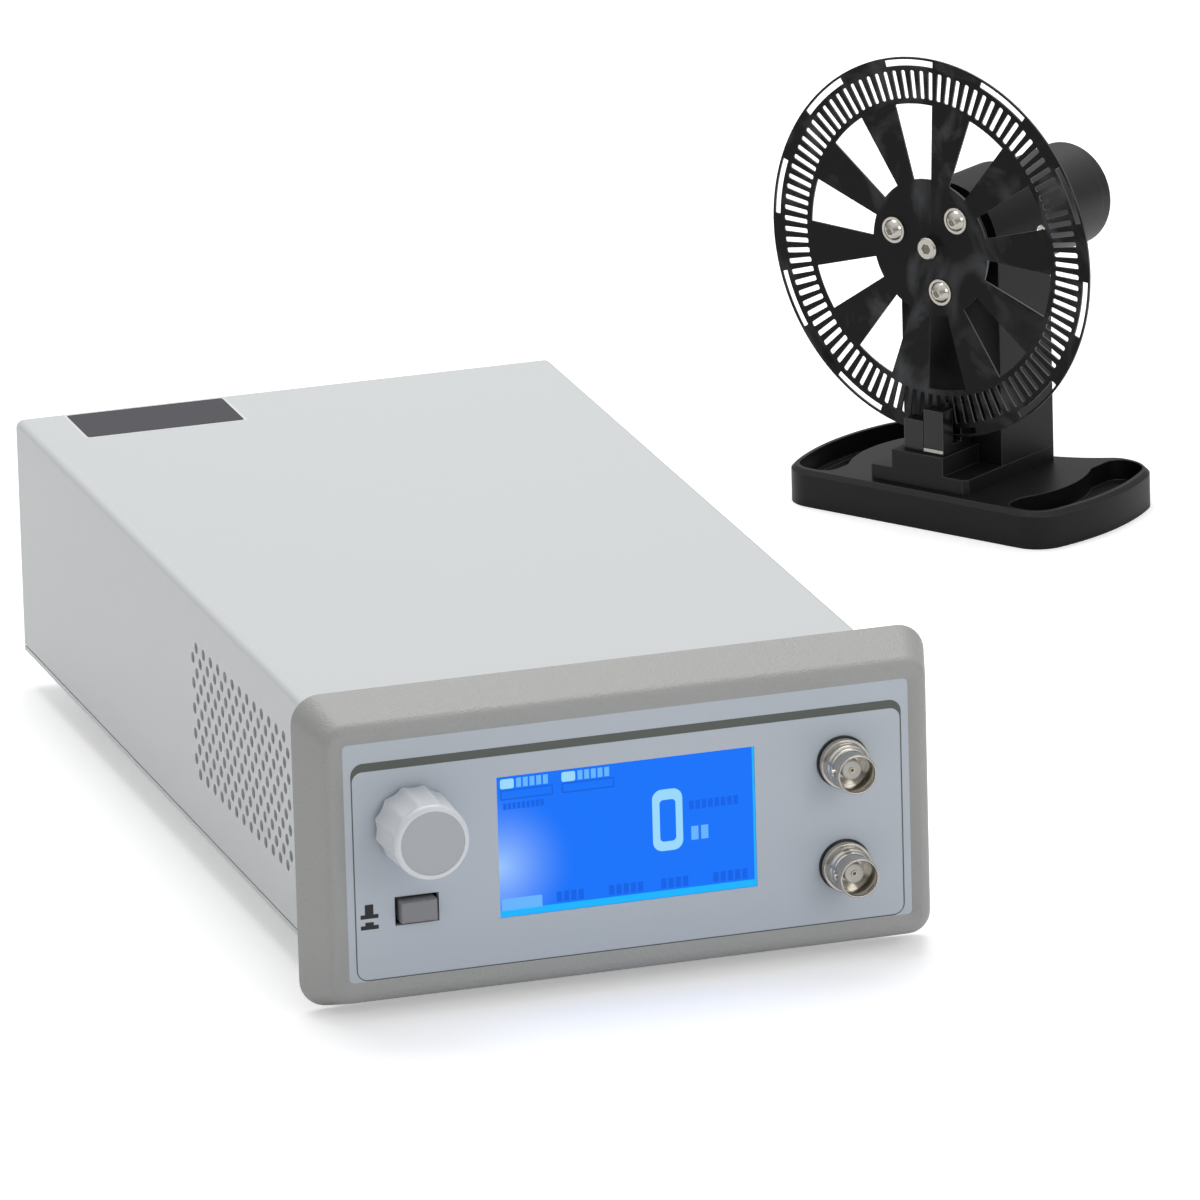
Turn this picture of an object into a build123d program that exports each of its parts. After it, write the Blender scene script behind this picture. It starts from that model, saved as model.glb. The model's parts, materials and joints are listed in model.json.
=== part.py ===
from build123d import *
import math
import os

# Optical chopper set: a bench controller and, beside it, the chopper head with its slotted blade.
# All sizes are in millimetres.
# Each unit is modelled square to its own axes: X to the right, Y from front to back, Z up,
# with the surface that both units stand on at Z = 0.

# Places of the two units in the set
HEAD_X = 189.3              # blade centre, right of the controller's centre line
HEAD_Y = 322.0              # blade centre, behind the bezel's rear rim
HEAD_TURN = -54.7           # degrees about Z: the blade looks to the front left
SET_CENTRE_X = 84.33        # middle of the whole set, measured in the controller's frame
SET_CENTRE_Y = 173.96

# Small clearances, each used wherever that kind of fit occurs
SLIDE_GAP = 0.15            # sliding plastic pieces, per side
RUN_GAP = 0.03              # running shafts, on the radius
SEAT_GAP = 0.02             # pushed-on pieces, on the radius
THREAD_GAP = 0.025          # screw in its hole, on the radius
PANEL_GAP = 0.1             # pieces set into panel cut-outs, per side

# Controller case
CASE_W = 141.5
CASE_H = 60.6
CASE_D = 273.7
FOOT_H = 9.0
SHEET = 1.2
BEND_R = 2.0
SEAM = 0.4                  # shadow line between the cover's edge and the chassis plate
CASE_ENTRY = 8.0            # how far the case goes into the bezel
REAR_INSET = 1.5            # rear panel behind the cover's rear edge
REAR_T = 1.5
CASE_FLOOR = FOOT_H + SHEET
CASE_TOP = FOOT_H + CASE_H
CASE_MID = FOOT_H + CASE_H / 2
INNER_W = CASE_W - 2 * SHEET
TAB_L = 12.0                # cover's fixing tabs
TAB_W = 10.0
TAB_T = 1.6
TAB_Y = (60.0, 215.0)
FLANGE_H = 7.5              # chassis flange that carries the rear panel
REAR_SCREW_INSET = 9.0      # rear panel's screws from the inside of the cover

# Vent holes in both sides of the cover, in a staggered field
VENT_D = 2.5
VENT_SIDES = 6              # few sides, so that the field stays light
VENT_PITCH = 6.3
VENT_DROP = 3.23            # from one staggered row to the next
VENT_ROWS = 11
VENT_COLUMNS = 13
VENT_FRONT = 34.8           # first hole of the longest rows behind the bezel rim
VENT_TOP = CASE_TOP - 12.6

# Feet under the chassis
PAD_D = 16.0
PAD_X = 50.0
PAD_Y = (32.0, 245.0)
PAD_SCREW_D = 4.0
PAD_RECESS_D = 8.0
PAD_FLOOR = 3.5
PAD_TAPER = 1.0             # on the radius, from top to bottom
PAD_HEAD_D = 7.0
PAD_HEAD_T = 2.4
PAD_SCREW_BITE = 2.0        # tip of the screw above the chassis plate

# Bezel: a hollow moulded frame around the front panel
RIM_W = 157.5
RIM_H = 77.4
RIM_R = 7.0
CREST_W = 148.7
CREST_H = 68.3
CREST_R = 5.5
CREST_OUT = 14.15           # front of the bezel, measured from its rear rim
CREST_ROUND = 2.4
MOUTH_W = 140.2             # panel opening
MOUTH_H = 59.0
MOUTH_R = 2.5
MOUTH_BEVEL = 2.2           # width of the bevel that leads down to the panel
PANEL_BACKSET = 1.0         # panel face behind the crest
COLLAR_T = 2.2              # wall of the inner collar that grips the case
FLANK_T = 2.6               # wall of the sloped flank
HOLLOW = 8.0                # depth of the hollow between them, from the rear

# Front panel
PANEL_W = 143.2
PANEL_H = 62.0
PANEL_R = 3.0
PANEL_T = 2.0
PANEL_FACE = -(CREST_OUT - PANEL_BACKSET)
PANEL_BACK = PANEL_FACE + PANEL_T

# Display
WINDOW_W = 64.0
WINDOW_H = 35.0
WINDOW_X = -0.45
WINDOW_Z = 38.95
WINDOW_SINK = 0.2
LCD_FRAME_W = 76.0
LCD_FRAME_H = 46.0
LCD_FRAME_T = 6.0
LCD_BOARD_W = 82.0
LCD_BOARD_H = 50.0
LCD_BOARD_T = 1.6

# Knob on a rotary encoder with a push switch
KNOB_X = -53.4
KNOB_Z = 47.8
KNOB_BASE_D = 19.8
KNOB_FACE_D = 17.8
KNOB_FRONT = 16.8           # knob face in front of the panel
KNOB_LIFT = 0.9             # gap behind the knob
KNOB_EDGE = 0.55            # rounding of the knob's face edge
FLUTES = 12
FLUTE_W = 3.0
FLUTE_DEPTH = 0.9
FLUTE_END = 2.6             # flutes stop this far behind the face
CAP_D = 15.8
CAP_T = 0.9
CAP_SINK = 0.25
KNOB_WELL_D = 14.4          # hollow that clears the bushing's nut
SHAFT_D = 6.0
BUSH_D = 7.0
BUSH_OUT = 4.4              # bushing in front of the panel
NUT_AF = 10.0
NUT_T = 2.0
WASHER_D = 11.0
WASHER_T = 0.5
ENC_SIDE = 12.4
ENC_DEPTH = 7.0
ENC_WELL_D = 8.4
PLUNGER_D = 7.6
PLUNGER_T = 1.0
SHAFT_COLLAR_D = 7.4
SHAFT_COLLAR_T = 0.8
SHAFT_GRIP = 10.4           # depth of the shaft's hole in the knob
SHAFT_SHORT = 0.3           # gap between the shaft's end and that hole's floor
ENC_FRONT_WALL = 1.6
ENC_BACK_WALL = 1.0

# Power button, latched in
BUTTON_X = -52.95
BUTTON_Z = 26.4
BUTTON_HOLE_W = 10.9
BUTTON_HOLE_H = 7.1
BUTTON_W = 8.9
BUTTON_H = 5.2
BUTTON_PROUD = 2.4
BUTTON_LEN = 10.5
BUTTON_EDGE = 0.5
ROD_SIDE = 3.0
ROD_IN_BUTTON = 5.0
ROD_LEN = 16.0
SWITCH_W = 12.0
SWITCH_H = 9.0
SWITCH_LEN = 18.0
SWITCH_START = 10.0         # switch body behind the panel
SWITCH_WELL = 10.0
CAGE_T = 1.2

# Bayonet connectors
BNC_X = 53.4
BNC_Z = (50.05, 24.2)
BNC_BARREL_D = 9.65
BNC_FRONT = 11.65           # mouth in front of the panel
BNC_MOUTH_D = 8.1
BNC_MOUTH_DEPTH = 8.2
BNC_FLANGE_D = 12.2
BNC_FLANGE_T = 2.4
BNC_RING_D = 12.8
BNC_RING_T = 0.6
BNC_THREAD_D = 9.4
BNC_TAIL = 8.0              # thread behind the panel face
BNC_NUT_AF = 13.0
BNC_NUT_T = 2.6
BNC_LUG_D = 2.0
BNC_LUG_OUT = 0.75
BNC_LUG_BACK = 3.6          # lugs behind the mouth
BNC_CORE_D = 4.8
BNC_CORE_BACKSET = 0.8
BNC_PIN_D = 2.1
BNC_PIN_HOLE_D = 1.4
BNC_PIN_HOLE_DEPTH = 5.0
BNC_PIN_TAIL = 3.0          # centre contact behind the thread

# Boards and power supply inside the case
BOARD_W = 118.0
BOARD_L = 140.0
BOARD_T = 1.6
BOARD_START = 20.0
BOARD_LIFT = 8.0
POST_D = 6.0
POST_INSET = 6.0
CHIPS = ((-20.0, 10.0, 60.0, 90.0, 2.4), (20.0, 34.0, 55.0, 69.0, 2.0),
         (26.0, 50.0, 100.0, 106.0, 18.0))      # left, right, front, back and height of each
CAPACITORS = 4
CAPACITOR_D = 10.0
CAPACITOR_H = 14.0
CAPACITOR_X = -40.0
CAPACITOR_Y = 130.0
CAPACITOR_PITCH = 14.0
SUPPLY_W = 62.0
SUPPLY_L = 84.0
SUPPLY_H = 34.0
SUPPLY_X = 10.0
SUPPLY_START = 170.0
SUPPLY_WALL = 1.5

# Mains inlet with its fuse drawer, in the rear panel
INLET_X = -44.0
INLET_W = 30.0
INLET_H = 48.0
INLET_FLANGE_T = 2.5
INLET_BODY_W = 27.4
INLET_BODY_H = 42.0
INLET_DEPTH = 24.0
INLET_R = 2.0
SOCKET_W = 24.2
SOCKET_H = 16.4
SOCKET_DEPTH = 16.0
SOCKET_DROP = 9.0           # socket centre below the inlet's centre
SOCKET_CUT = 4.0
BLADE_PIN_W = 4.0
BLADE_PIN_T = 2.0
BLADE_PIN_LEN = 11.0
BLADE_PIN_GAP = 7.0
LINE_PIN_DROP = 1.5         # outer pins below the socket's centre
EARTH_PIN_RISE = 2.5        # middle pin above it
DRAWER_W = 25.0
DRAWER_H = 9.0
DRAWER_RISE = 13.0          # drawer centre above the inlet's centre
DRAWER_LEN = 17.0
DRAWER_FACE_T = 1.5
DRAWER_LIP = 0.6
DRAWER_SPARE = 0.5          # shaft deeper than the drawer is long
FUSE_ROOM = 0.3             # round the fuse in its cradle, per side
FUSE_D = 5.2
FUSE_L = 20.0
FUSE_CAP_L = 5.0
FUSE_CAP_STEP = 0.3         # caps proud of the glass

# Line voltage selector, head socket and data socket in the rear panel
SELECTOR_X = -8.0
SELECTOR_Z = 50.0
SELECTOR_W = 17.0
SELECTOR_H = 9.0
SELECTOR_DEPTH = 9.0
SELECTOR_WELL = 4.0
SELECTOR_LEDGE = 1.0        # rear panel over the edge of the selector's body
SLIDER_W = 6.0
SLIDER_H = 5.4
SLIDER_TRAVEL = 7.0
SLIDER_PROUD = 0.6
SLIDER_SLOT_W = 1.0
SLIDER_SLOT_H = 3.8
DIN_X = 44.0
DIN_Z = 39.0
DIN_D = 13.0
DIN_FLANGE_D = 17.0
DIN_FLANGE_T = 1.6
DIN_DEPTH = 11.0
DIN_CORE_D = 9.0
DIN_PIN_D = 1.1
DIN_PINS = 6
DIN_PIN_R = 2.5             # circle of the pin holes
DIN_PIN_PHASE = 30.0
DIN_RING_W = 0.8            # ring gap around the contact block
DIN_RING_DEPTH = 6.8
DIN_PIN_DEPTH = 5.8
DATA_X = 14.0
DATA_Z = 30.0
DATA_W = 12.0
DATA_H = 10.8
DATA_DEPTH = 16.0
DATA_WALL = 0.6
TONGUE_W = 5.6
TONGUE_H = 3.2
DATA_PROUD = 0.4
TONGUE_BACKSET = 1.6        # tongue behind the socket's rim

# Screws that can be seen on the hidden sides
SCREW_D = 3.0
SCREW_HEAD_D = 5.6
SCREW_HEAD_T = 1.7
SCREW_LEN = 6.0
PAN_EDGE = 0.4              # head's bevel, as a share of its height
PAN_SLOT_L = 0.6            # driver slot, as shares of the head's size
PAN_SLOT_W = 0.35
PAN_SLOT_DEPTH = 0.35

# Chopper head: base
BASE_T = 10.0
BASE_CHAMFER = 1.2
BASE_FRONT = -11.0          # straight front edge, measured from the blade's plane
BASE_BACK = 43.6            # back of the two lobes
BASE_WAIST = 33.4           # back of the waist between them
BASE_HALF = 45.9            # widest point of the bowed ends
BASE_MID = 15.0             # depth at which the ends are widest
BASE_END_R = 68.0
WAIST_R = 43.9
FRONT_CORNER_R = 9.0
LOBE_OUTER_R = 12.0
LOBE_INNER_R = 8.0
BASE_RIM = 2.2              # wall left around the pockets
POCKET_DEPTH = 5.5
POCKET_INNER_R = 32.0
POCKET_START = 28.0
POCKET_CORNER_R = 4.0
POCKET_BACK_R = 8.0
SLOT_SPACING = 76.2
SLOT_W = 6.6
SLOT_L = 22.0
POST_HOLE_D = 5.1
POST_HOLE_DEPTH = 8.0

# Chopper head: stepped foot and post
POST_W = 31.4
POST_FRONT = 8.0
POST_DEPTH = 23.0
FOOT_FRONT = -8.0
STEP_LOW = 4.3
STEP_HIGH = 5.0
STEP_W = 16.4
FOOT_CHAMFER = 1.2
AXIS_H = 73.3
POST_WALL = 2.5             # post's front wall

# Chopper head: motor
MOTOR_D = 27.6
MOTOR_END = 62.0
MOTOR_WALL = 1.2
CAP_LEN = 4.0
CAP_ROUND = 1.2
SPIGOT_LEN = 4.0
BEARING_D = 13.0
BEARING_L = 5.0
BEARING_BOSS_D = 17.0
CAN_FRONT_T = 2.0
BEARING_SET = 1.0           # front bearing behind the can's face
SHAFT_CLEAR_D = 7.0         # shaft hole in the can's face
SHAFT_BACKSET = 0.5         # shaft's rear end inside the rear bearing
SHAFT_TAP_DEPTH = 5.0
SHAFT_TAP_D = 2.0
ROTOR_SHAFT_D = 4.0
MAGNET_T = 2.4
MAGNET_LEN = 28.0
MAGNET_START = 10.0         # magnets behind the motor's face
MAGNET_SPLIT = 3.0          # gap between the two magnets
AIR_GAP = 0.5
CORE_SLOTS = 8
CORE_SLOT_W = 2.2
CORE_SLOT_DEPTH = 3.6

# Chopper head: hub and blade
BLADE_D = 101.6
BLADE_T = 0.5
BLADE_PHASE = 87.8          # degrees: first edge of an opening, from +X towards +Z
OPENINGS = 10
OPENING_INNER_R = 18.3
OPENING_OUTER_R = 38.4
FINE_SLOTS = 100
FINE_INNER_R = 39.8
FINE_OUTER_R = 47.3
WINDOW_INNER_R = 48.5
WINDOW_OUTER_R = 50.2
HUB_FLANGE_D = 33.0
HUB_FLANGE_T = 3.0
HUB_NOSE_D = 12.0
HUB_GAP = 1.0
HUB_WALL = 1.5              # hub's front wall, under the centre screw
NOSE_ROOM = 1.0             # around the hub's nose in the post, per side
BLADE_SCREWS = 3
BLADE_SCREW_R = 12.0
BLADE_SCREW_PHASE = 45.0
BUTTON_HEAD_D = 5.7
BUTTON_HEAD_T = 1.65
BLADE_WASHER_D = 7.0
BLADE_WASHER_T = 0.5
HEX_AF = 2.0
HEX_DEPTH = 1.1
CENTRE_HEAD_D = 6.0
CENTRE_PROUD = 2.0
CENTRE_HOLE_D = 3.0
CENTRE_HEX_AF = 2.5
CENTRE_HEX_DEPTH = 1.6
CENTRE_EDGE = 0.4
CENTRE_BITE = 4.0           # screw inside the shaft

# Chopper head: slotted sensors on the foot
SENSOR_W = 6.1
SENSOR_DEPTH = 12.4
SENSOR_GAP = 3.4
SENSOR_WEB = 2.2
OUTER_SENSOR_X = -2.3
OUTER_SENSOR_TOP = 27.8
INNER_SENSOR_X = 4.1
INNER_SENSOR_TOP = 31.1
EYE_W = 1.0
EYE_H = 1.6
EYE_DROP = 2.6
EYE_DEPTH = 0.4

# Chopper head: fasteners and socket
SIDE_SCREW_D = 4.0
SIDE_SCREW_Y = 26.5
SIDE_SCREW_PROUD = 0.8
SIDE_SCREW_EDGE = 0.4
SIDE_HEX_DEPTH = 1.5
BOLT_D = 4.0
BOLT_HEAD_D = 7.0
BOLT_HEAD_T = 4.0
BOLT_BITE = 8.0
BOLT_SPARE = 1.0            # hole deeper than the bolt reaches
BOLT_SINK = 0.4             # head inside the base's underside, and wider hole around it
BOLT_HEX_AF = 3.0
BOLT_HEX_DEPTH = 2.0
STEP_COVER = 1.0            # step's top above the hole from below
STEP_BOLT_SHORT = 1.5       # bolt's tip below the step's top
BOLT_PLACES = ((-10.0, 19.5), (10.0, 19.5))
STEP_BOLT_Y = -0.5
JACK_Z = 36.0
JACK_FLANGE_D = 14.0
JACK_D = 11.0
JACK_DEPTH = 12.0
JACK_FLANGE_T = 1.5
JACK_LEAD_ROOM = 6.0        # hole in the post ahead of the socket


def block(x0, x1, y0, y1, z0, z1):
    """A box between two opposite corners."""
    middle = Pos((x0 + x1) / 2, (y0 + y1) / 2, (z0 + z1) / 2)
    return middle * Box(x1 - x0, y1 - y0, z1 - z0)


def centred(x, z, width, height, y0, y1):
    """A box centred on a front-to-back line at x, z."""
    return block(x - width / 2, x + width / 2, y0, y1, z - height / 2, z + height / 2)


def facing(x, y, z):
    """A sketch plane whose drawing looks as seen from the front, with its normal to the back."""
    return Plane(origin=(x, y, z), x_dir=(1, 0, 0), z_dir=(0, -1, 0))


def rod(x, z, y0, y1, diameter):
    """A round bar along Y from y0 to y1."""
    return Pos(x, (y0 + y1) / 2, z) * Rot(90, 0, 0) * Cylinder(diameter / 2, y1 - y0)


def upright(x, y, z0, z1, diameter):
    """A round bar along Z from z0 to z1."""
    return Pos(x, y, (z0 + z1) / 2) * Cylinder(diameter / 2, z1 - z0)


def plate(x, z, width, height, corner, y0, y1):
    """A plate with rounded corners that faces the front, from y0 back to y1."""
    outline = facing(x, y1, z) * RectangleRounded(width, height, corner)
    return extrude(outline, y1 - y0)


def hexagon_bar(x, z, y0, y1, across_flats):
    """A hexagonal bar along Y from y0 to y1."""
    outline = facing(x, y1, z) * RegularPolygon(across_flats / 2, 6, major_radius=False)
    return extrude(outline, y1 - y0)


def grouped(pieces):
    """Equal pieces that stay separate solids in one sub-part."""
    return Compound(children=list(pieces))


def polar(radius, degrees):
    """A point at a radius and an angle."""
    return radius * math.cos(math.radians(degrees)), radius * math.sin(math.radians(degrees))


# Controller: case

def vent_places():
    """Holes of the staggered vent field, as depth and height on the cover's side."""
    places = []
    for row in range(VENT_ROWS):
        staggered = row % 2 == 1
        first = VENT_FRONT - VENT_PITCH / 2 if staggered else VENT_FRONT
        count = VENT_COLUMNS + 1 if staggered else VENT_COLUMNS
        for column in range(count):
            places.append((first + column * VENT_PITCH, VENT_TOP - row * VENT_DROP))
    return places


def cover():
    """Folded top and sides with rounded bends, vent holes and four fixing tabs."""
    bottom = CASE_FLOOR + SEAM
    outer = block(-CASE_W / 2, CASE_W / 2, -CASE_ENTRY, CASE_D, bottom, CASE_TOP)
    folds = outer.edges().filter_by(Axis.Y).group_by(Axis.Z)[-1]
    outer = fillet(folds, BEND_R)
    inner = block(-INNER_W / 2, INNER_W / 2, -CASE_ENTRY, CASE_D, bottom, CASE_TOP - SHEET)
    folds = inner.edges().filter_by(Axis.Y).group_by(Axis.Z)[-1]
    shell = outer - fillet(folds, BEND_R - SHEET)
    for side in (-1, 1):
        wall = side * CASE_W / 2
        edge = side * (CASE_W / 2 - SHEET - TAB_W)
        for y in TAB_Y:
            tab = block(min(wall, edge), max(wall, edge), y - TAB_L / 2, y + TAB_L / 2,
                        CASE_FLOOR + SEAM, CASE_FLOOR + SEAM + TAB_T)
            shell += tab
            shell -= upright(side * tab_screw_x(), y, CASE_FLOOR, CASE_FLOOR + SEAM + TAB_T, SCREW_D)
    side_view = Plane(origin=(-CASE_W / 2, 0, 0), x_dir=(0, 1, 0), z_dir=(1, 0, 0))
    hole = RegularPolygon(VENT_D / 2, VENT_SIDES)
    holes = [extrude(side_view * Pos(y, z) * hole, CASE_W) for y, z in vent_places()]
    return shell - holes


def tab_screw_x():
    """Screw line of the cover's fixing tabs, from the centre line."""
    return CASE_W / 2 - SHEET - TAB_W / 2


def chassis():
    """Bottom plate with a seat rib under each cover tab and an upturned rear flange."""
    tray = block(-CASE_W / 2, CASE_W / 2, -CASE_ENTRY, CASE_D, FOOT_H, CASE_FLOOR)
    rear = CASE_D - REAR_INSET - REAR_T
    tray += block(-INNER_W / 2, INNER_W / 2, rear - SHEET, rear, CASE_FLOOR, CASE_FLOOR + FLANGE_H)
    for side in (-1, 1):
        for y in TAB_Y:
            x = side * tab_screw_x()
            tray += block(x - TAB_W / 2, x + TAB_W / 2, y - TAB_L / 2, y + TAB_L / 2,
                          CASE_FLOOR, CASE_FLOOR + SEAM)
            tray -= upright(x, y, FOOT_H, CASE_FLOOR + SEAM, SCREW_D + 2 * THREAD_GAP)
    for x, y in pad_places():
        tray -= upright(x, y, FOOT_H, CASE_FLOOR, PAD_SCREW_D + 2 * THREAD_GAP)
    for x in rear_screw_x():
        tray -= rod(x, rear_screw_z(), rear - SHEET, rear, SCREW_D + 2 * THREAD_GAP)
    return tray


def rear_screw_x():
    """Screws that hold the rear panel to the chassis flange."""
    return (-INNER_W / 2 + REAR_SCREW_INSET, INNER_W / 2 - REAR_SCREW_INSET)


def rear_screw_z():
    """Height of the rear panel's screws."""
    return CASE_FLOOR + FLANGE_H / 2


def rear_panel():
    """Rear panel with the cut-outs for its connectors."""
    front = CASE_D - REAR_INSET - REAR_T
    panel = block(-INNER_W / 2 + PANEL_GAP, INNER_W / 2 - PANEL_GAP, front, front + REAR_T,
                  CASE_FLOOR, CASE_TOP - SHEET - PANEL_GAP)
    top_corners = panel.edges().filter_by(Axis.Y).group_by(Axis.Z)[-1]
    panel = fillet(top_corners, BEND_R)
    back = front + REAR_T
    panel -= centred(INLET_X, CASE_MID, INLET_BODY_W + 2 * PANEL_GAP, INLET_BODY_H + 2 * PANEL_GAP,
                     front, back)
    panel -= centred(SELECTOR_X, SELECTOR_Z, SELECTOR_W - 2 * SELECTOR_LEDGE,
                     SELECTOR_H - 2 * SELECTOR_LEDGE, front, back)
    panel -= rod(DIN_X, DIN_Z, front, back, DIN_D + 2 * PANEL_GAP)
    panel -= centred(DATA_X, DATA_Z, DATA_W + 2 * PANEL_GAP, DATA_H + 2 * PANEL_GAP, front, back)
    for x in rear_screw_x():
        panel -= rod(x, rear_screw_z(), front, back, SCREW_D + 2 * THREAD_GAP)
    return panel


def pad_places():
    """Places of the four rubber feet."""
    return [(side * PAD_X, y) for y in PAD_Y for side in (-1, 1)]


def rubber_feet():
    """Tapered rubber feet, each with a recess for its screw."""
    feet = []
    for x, y in pad_places():
        foot = Pos(x, y, FOOT_H / 2) * Cone(PAD_D / 2 - PAD_TAPER, PAD_D / 2, FOOT_H)
        foot -= upright(x, y, 0, FOOT_H - PAD_FLOOR, PAD_RECESS_D)
        foot -= upright(x, y, 0, FOOT_H, PAD_SCREW_D + 2 * THREAD_GAP)
        feet.append(foot)
    return grouped(feet)


def pan_screw(length, diameter, head_d, head_t):
    """A round-headed screw along Z, head down, with its seat at Z = 0."""
    head = Pos(0, 0, -head_t / 2) * Cylinder(head_d / 2, head_t)
    rim = head.edges().group_by(Axis.Z)[0]
    head = chamfer(rim, head_t * PAN_EDGE)
    head -= Pos(0, 0, -head_t) * Box(head_d * PAN_SLOT_L, head_t * PAN_SLOT_W, 2 * head_t * PAN_SLOT_DEPTH)
    return head + Pos(0, 0, length / 2) * Cylinder(diameter / 2, length)


def foot_screws():
    """Screws that hold the rubber feet, heads up inside their recesses."""
    length = PAD_FLOOR + SHEET + PAD_SCREW_BITE
    return grouped(Pos(x, y, FOOT_H - PAD_FLOOR) * pan_screw(length, PAD_SCREW_D, PAD_HEAD_D, PAD_HEAD_T)
                   for x, y in pad_places())


def case_screws():
    """Screws for the cover's tabs, under the chassis, and for the rear panel."""
    places = [Pos(side * tab_screw_x(), y, FOOT_H) for side in (-1, 1) for y in TAB_Y]
    back = CASE_D - REAR_INSET
    places += [Pos(x, back, rear_screw_z()) * Rot(90, 0, 0) for x in rear_screw_x()]
    return grouped(place * pan_screw(SCREW_LEN, SCREW_D, SCREW_HEAD_D, SCREW_HEAD_T) for place in places)


# Controller: front

def bezel():
    """Moulded frame: sloped flanks, a rounded crest, a bevelled mouth and a hollow back."""
    rim = facing(0, 0, CASE_MID) * RectangleRounded(RIM_W, RIM_H, RIM_R)
    crest = facing(0, -CREST_OUT, CASE_MID) * RectangleRounded(CREST_W, CREST_H, CREST_R)
    body = loft([rim, crest], ruled=True)
    front = body.faces().sort_by(Axis.Y)[0]
    body = fillet(front.edges(), CREST_ROUND)
    wide = facing(0, -CREST_OUT, CASE_MID) * RectangleRounded(
        MOUTH_W + 2 * MOUTH_BEVEL, MOUTH_H + 2 * MOUTH_BEVEL, MOUTH_R + MOUTH_BEVEL)
    narrow = facing(0, PANEL_FACE, CASE_MID) * RectangleRounded(MOUTH_W, MOUTH_H, MOUTH_R)
    body -= loft([narrow, wide], ruled=True)
    body -= plate(0, CASE_MID, PANEL_W + 2 * PANEL_GAP, PANEL_H + 2 * PANEL_GAP,
                  PANEL_R, PANEL_FACE, PANEL_BACK)
    body -= centred(0, CASE_MID, CASE_W + 2 * PANEL_GAP, CASE_H + 2 * PANEL_GAP, PANEL_BACK, 0)
    groove_w = CASE_W + 2 * PANEL_GAP + 2 * COLLAR_T
    groove_h = CASE_H + 2 * PANEL_GAP + 2 * COLLAR_T
    hollow_w = RIM_W - 2 * FLANK_T
    hollow_h = RIM_H - 2 * FLANK_T
    lean = HOLLOW * (RIM_W - CREST_W) / CREST_OUT
    wide_end = facing(0, 0, CASE_MID) * RectangleRounded(hollow_w, hollow_h, RIM_R - FLANK_T)
    deep_end = facing(0, -HOLLOW, CASE_MID) * RectangleRounded(
        hollow_w - lean, hollow_h - lean, RIM_R - FLANK_T)
    hollow = loft([wide_end, deep_end], ruled=True)
    hollow -= plate(0, CASE_MID, groove_w, groove_h, BEND_R + COLLAR_T, -HOLLOW, 0)
    return body - hollow


def front_panel():
    """Flat panel with the display window, knob, button and connector cut-outs."""
    panel = plate(0, CASE_MID, PANEL_W, PANEL_H, PANEL_R, PANEL_FACE, PANEL_BACK)
    panel -= centred(WINDOW_X, WINDOW_Z, WINDOW_W, WINDOW_H, PANEL_FACE, PANEL_BACK)
    panel -= rod(KNOB_X, KNOB_Z, PANEL_FACE, PANEL_BACK, BUSH_D + 2 * PANEL_GAP)
    panel -= centred(BUTTON_X, BUTTON_Z, BUTTON_HOLE_W, BUTTON_HOLE_H, PANEL_FACE, PANEL_BACK)
    for z in BNC_Z:
        panel -= rod(BNC_X, z, PANEL_FACE, PANEL_BACK, BNC_THREAD_D + 2 * PANEL_GAP)
    return panel


def display_window():
    """Clear window, a little below the panel's face."""
    return centred(WINDOW_X, WINDOW_Z, WINDOW_W - 2 * PANEL_GAP, WINDOW_H - 2 * PANEL_GAP,
                   PANEL_FACE + WINDOW_SINK, PANEL_BACK)


def display_module():
    """Display in its metal frame, with the board behind."""
    frame_back = PANEL_BACK + LCD_FRAME_T
    module = centred(WINDOW_X, WINDOW_Z, LCD_FRAME_W, LCD_FRAME_H, PANEL_BACK, frame_back)
    module += centred(WINDOW_X, WINDOW_Z, LCD_BOARD_W, LCD_BOARD_H, frame_back, frame_back + LCD_BOARD_T)
    return module


def knob():
    """Tapered knob with scalloped flutes, a recessed face and a well behind."""
    front = PANEL_FACE - KNOB_FRONT
    back = PANEL_FACE - KNOB_LIFT
    length = back - front
    body = Pos(KNOB_X, (front + back) / 2, KNOB_Z) * Rot(90, 0, 0) * Cone(
        KNOB_BASE_D / 2, KNOB_FACE_D / 2, length)
    face = body.faces().sort_by(Axis.Y)[0]
    body = fillet(face.edges(), KNOB_EDGE)
    lean = math.degrees(math.atan((KNOB_BASE_D - KNOB_FACE_D) / 2 / length))
    flute_r = (FLUTE_W ** 2 / 4 + FLUTE_DEPTH ** 2) / (2 * FLUTE_DEPTH)
    reach = KNOB_FACE_D / 2 + flute_r - FLUTE_DEPTH
    for index in range(FLUTES):
        cutter = Pos(0, 0, reach) * Rot(-lean, 0, 0) * Pos(0, length / 2 + FLUTE_END, 0)
        cutter = cutter * Rot(90, 0, 0) * Cylinder(flute_r, length)
        body -= Pos(KNOB_X, (front + back) / 2 - length / 2, KNOB_Z) * Rot(
            0, index * 360 / FLUTES, 0) * cutter
    body -= rod(KNOB_X, KNOB_Z, front, front + CAP_SINK + CAP_T, CAP_D + 2 * SEAT_GAP)
    well = PANEL_FACE - BUSH_OUT - KNOB_LIFT
    body -= rod(KNOB_X, KNOB_Z, well, back, KNOB_WELL_D)
    body -= rod(KNOB_X, KNOB_Z, well - SHAFT_GRIP, well, SHAFT_D + 2 * SEAT_GAP)
    return body


def knob_cap():
    """Flat disc in the knob's face."""
    front = PANEL_FACE - KNOB_FRONT + CAP_SINK
    return rod(KNOB_X, KNOB_Z, front, front + CAP_T, CAP_D)


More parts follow.
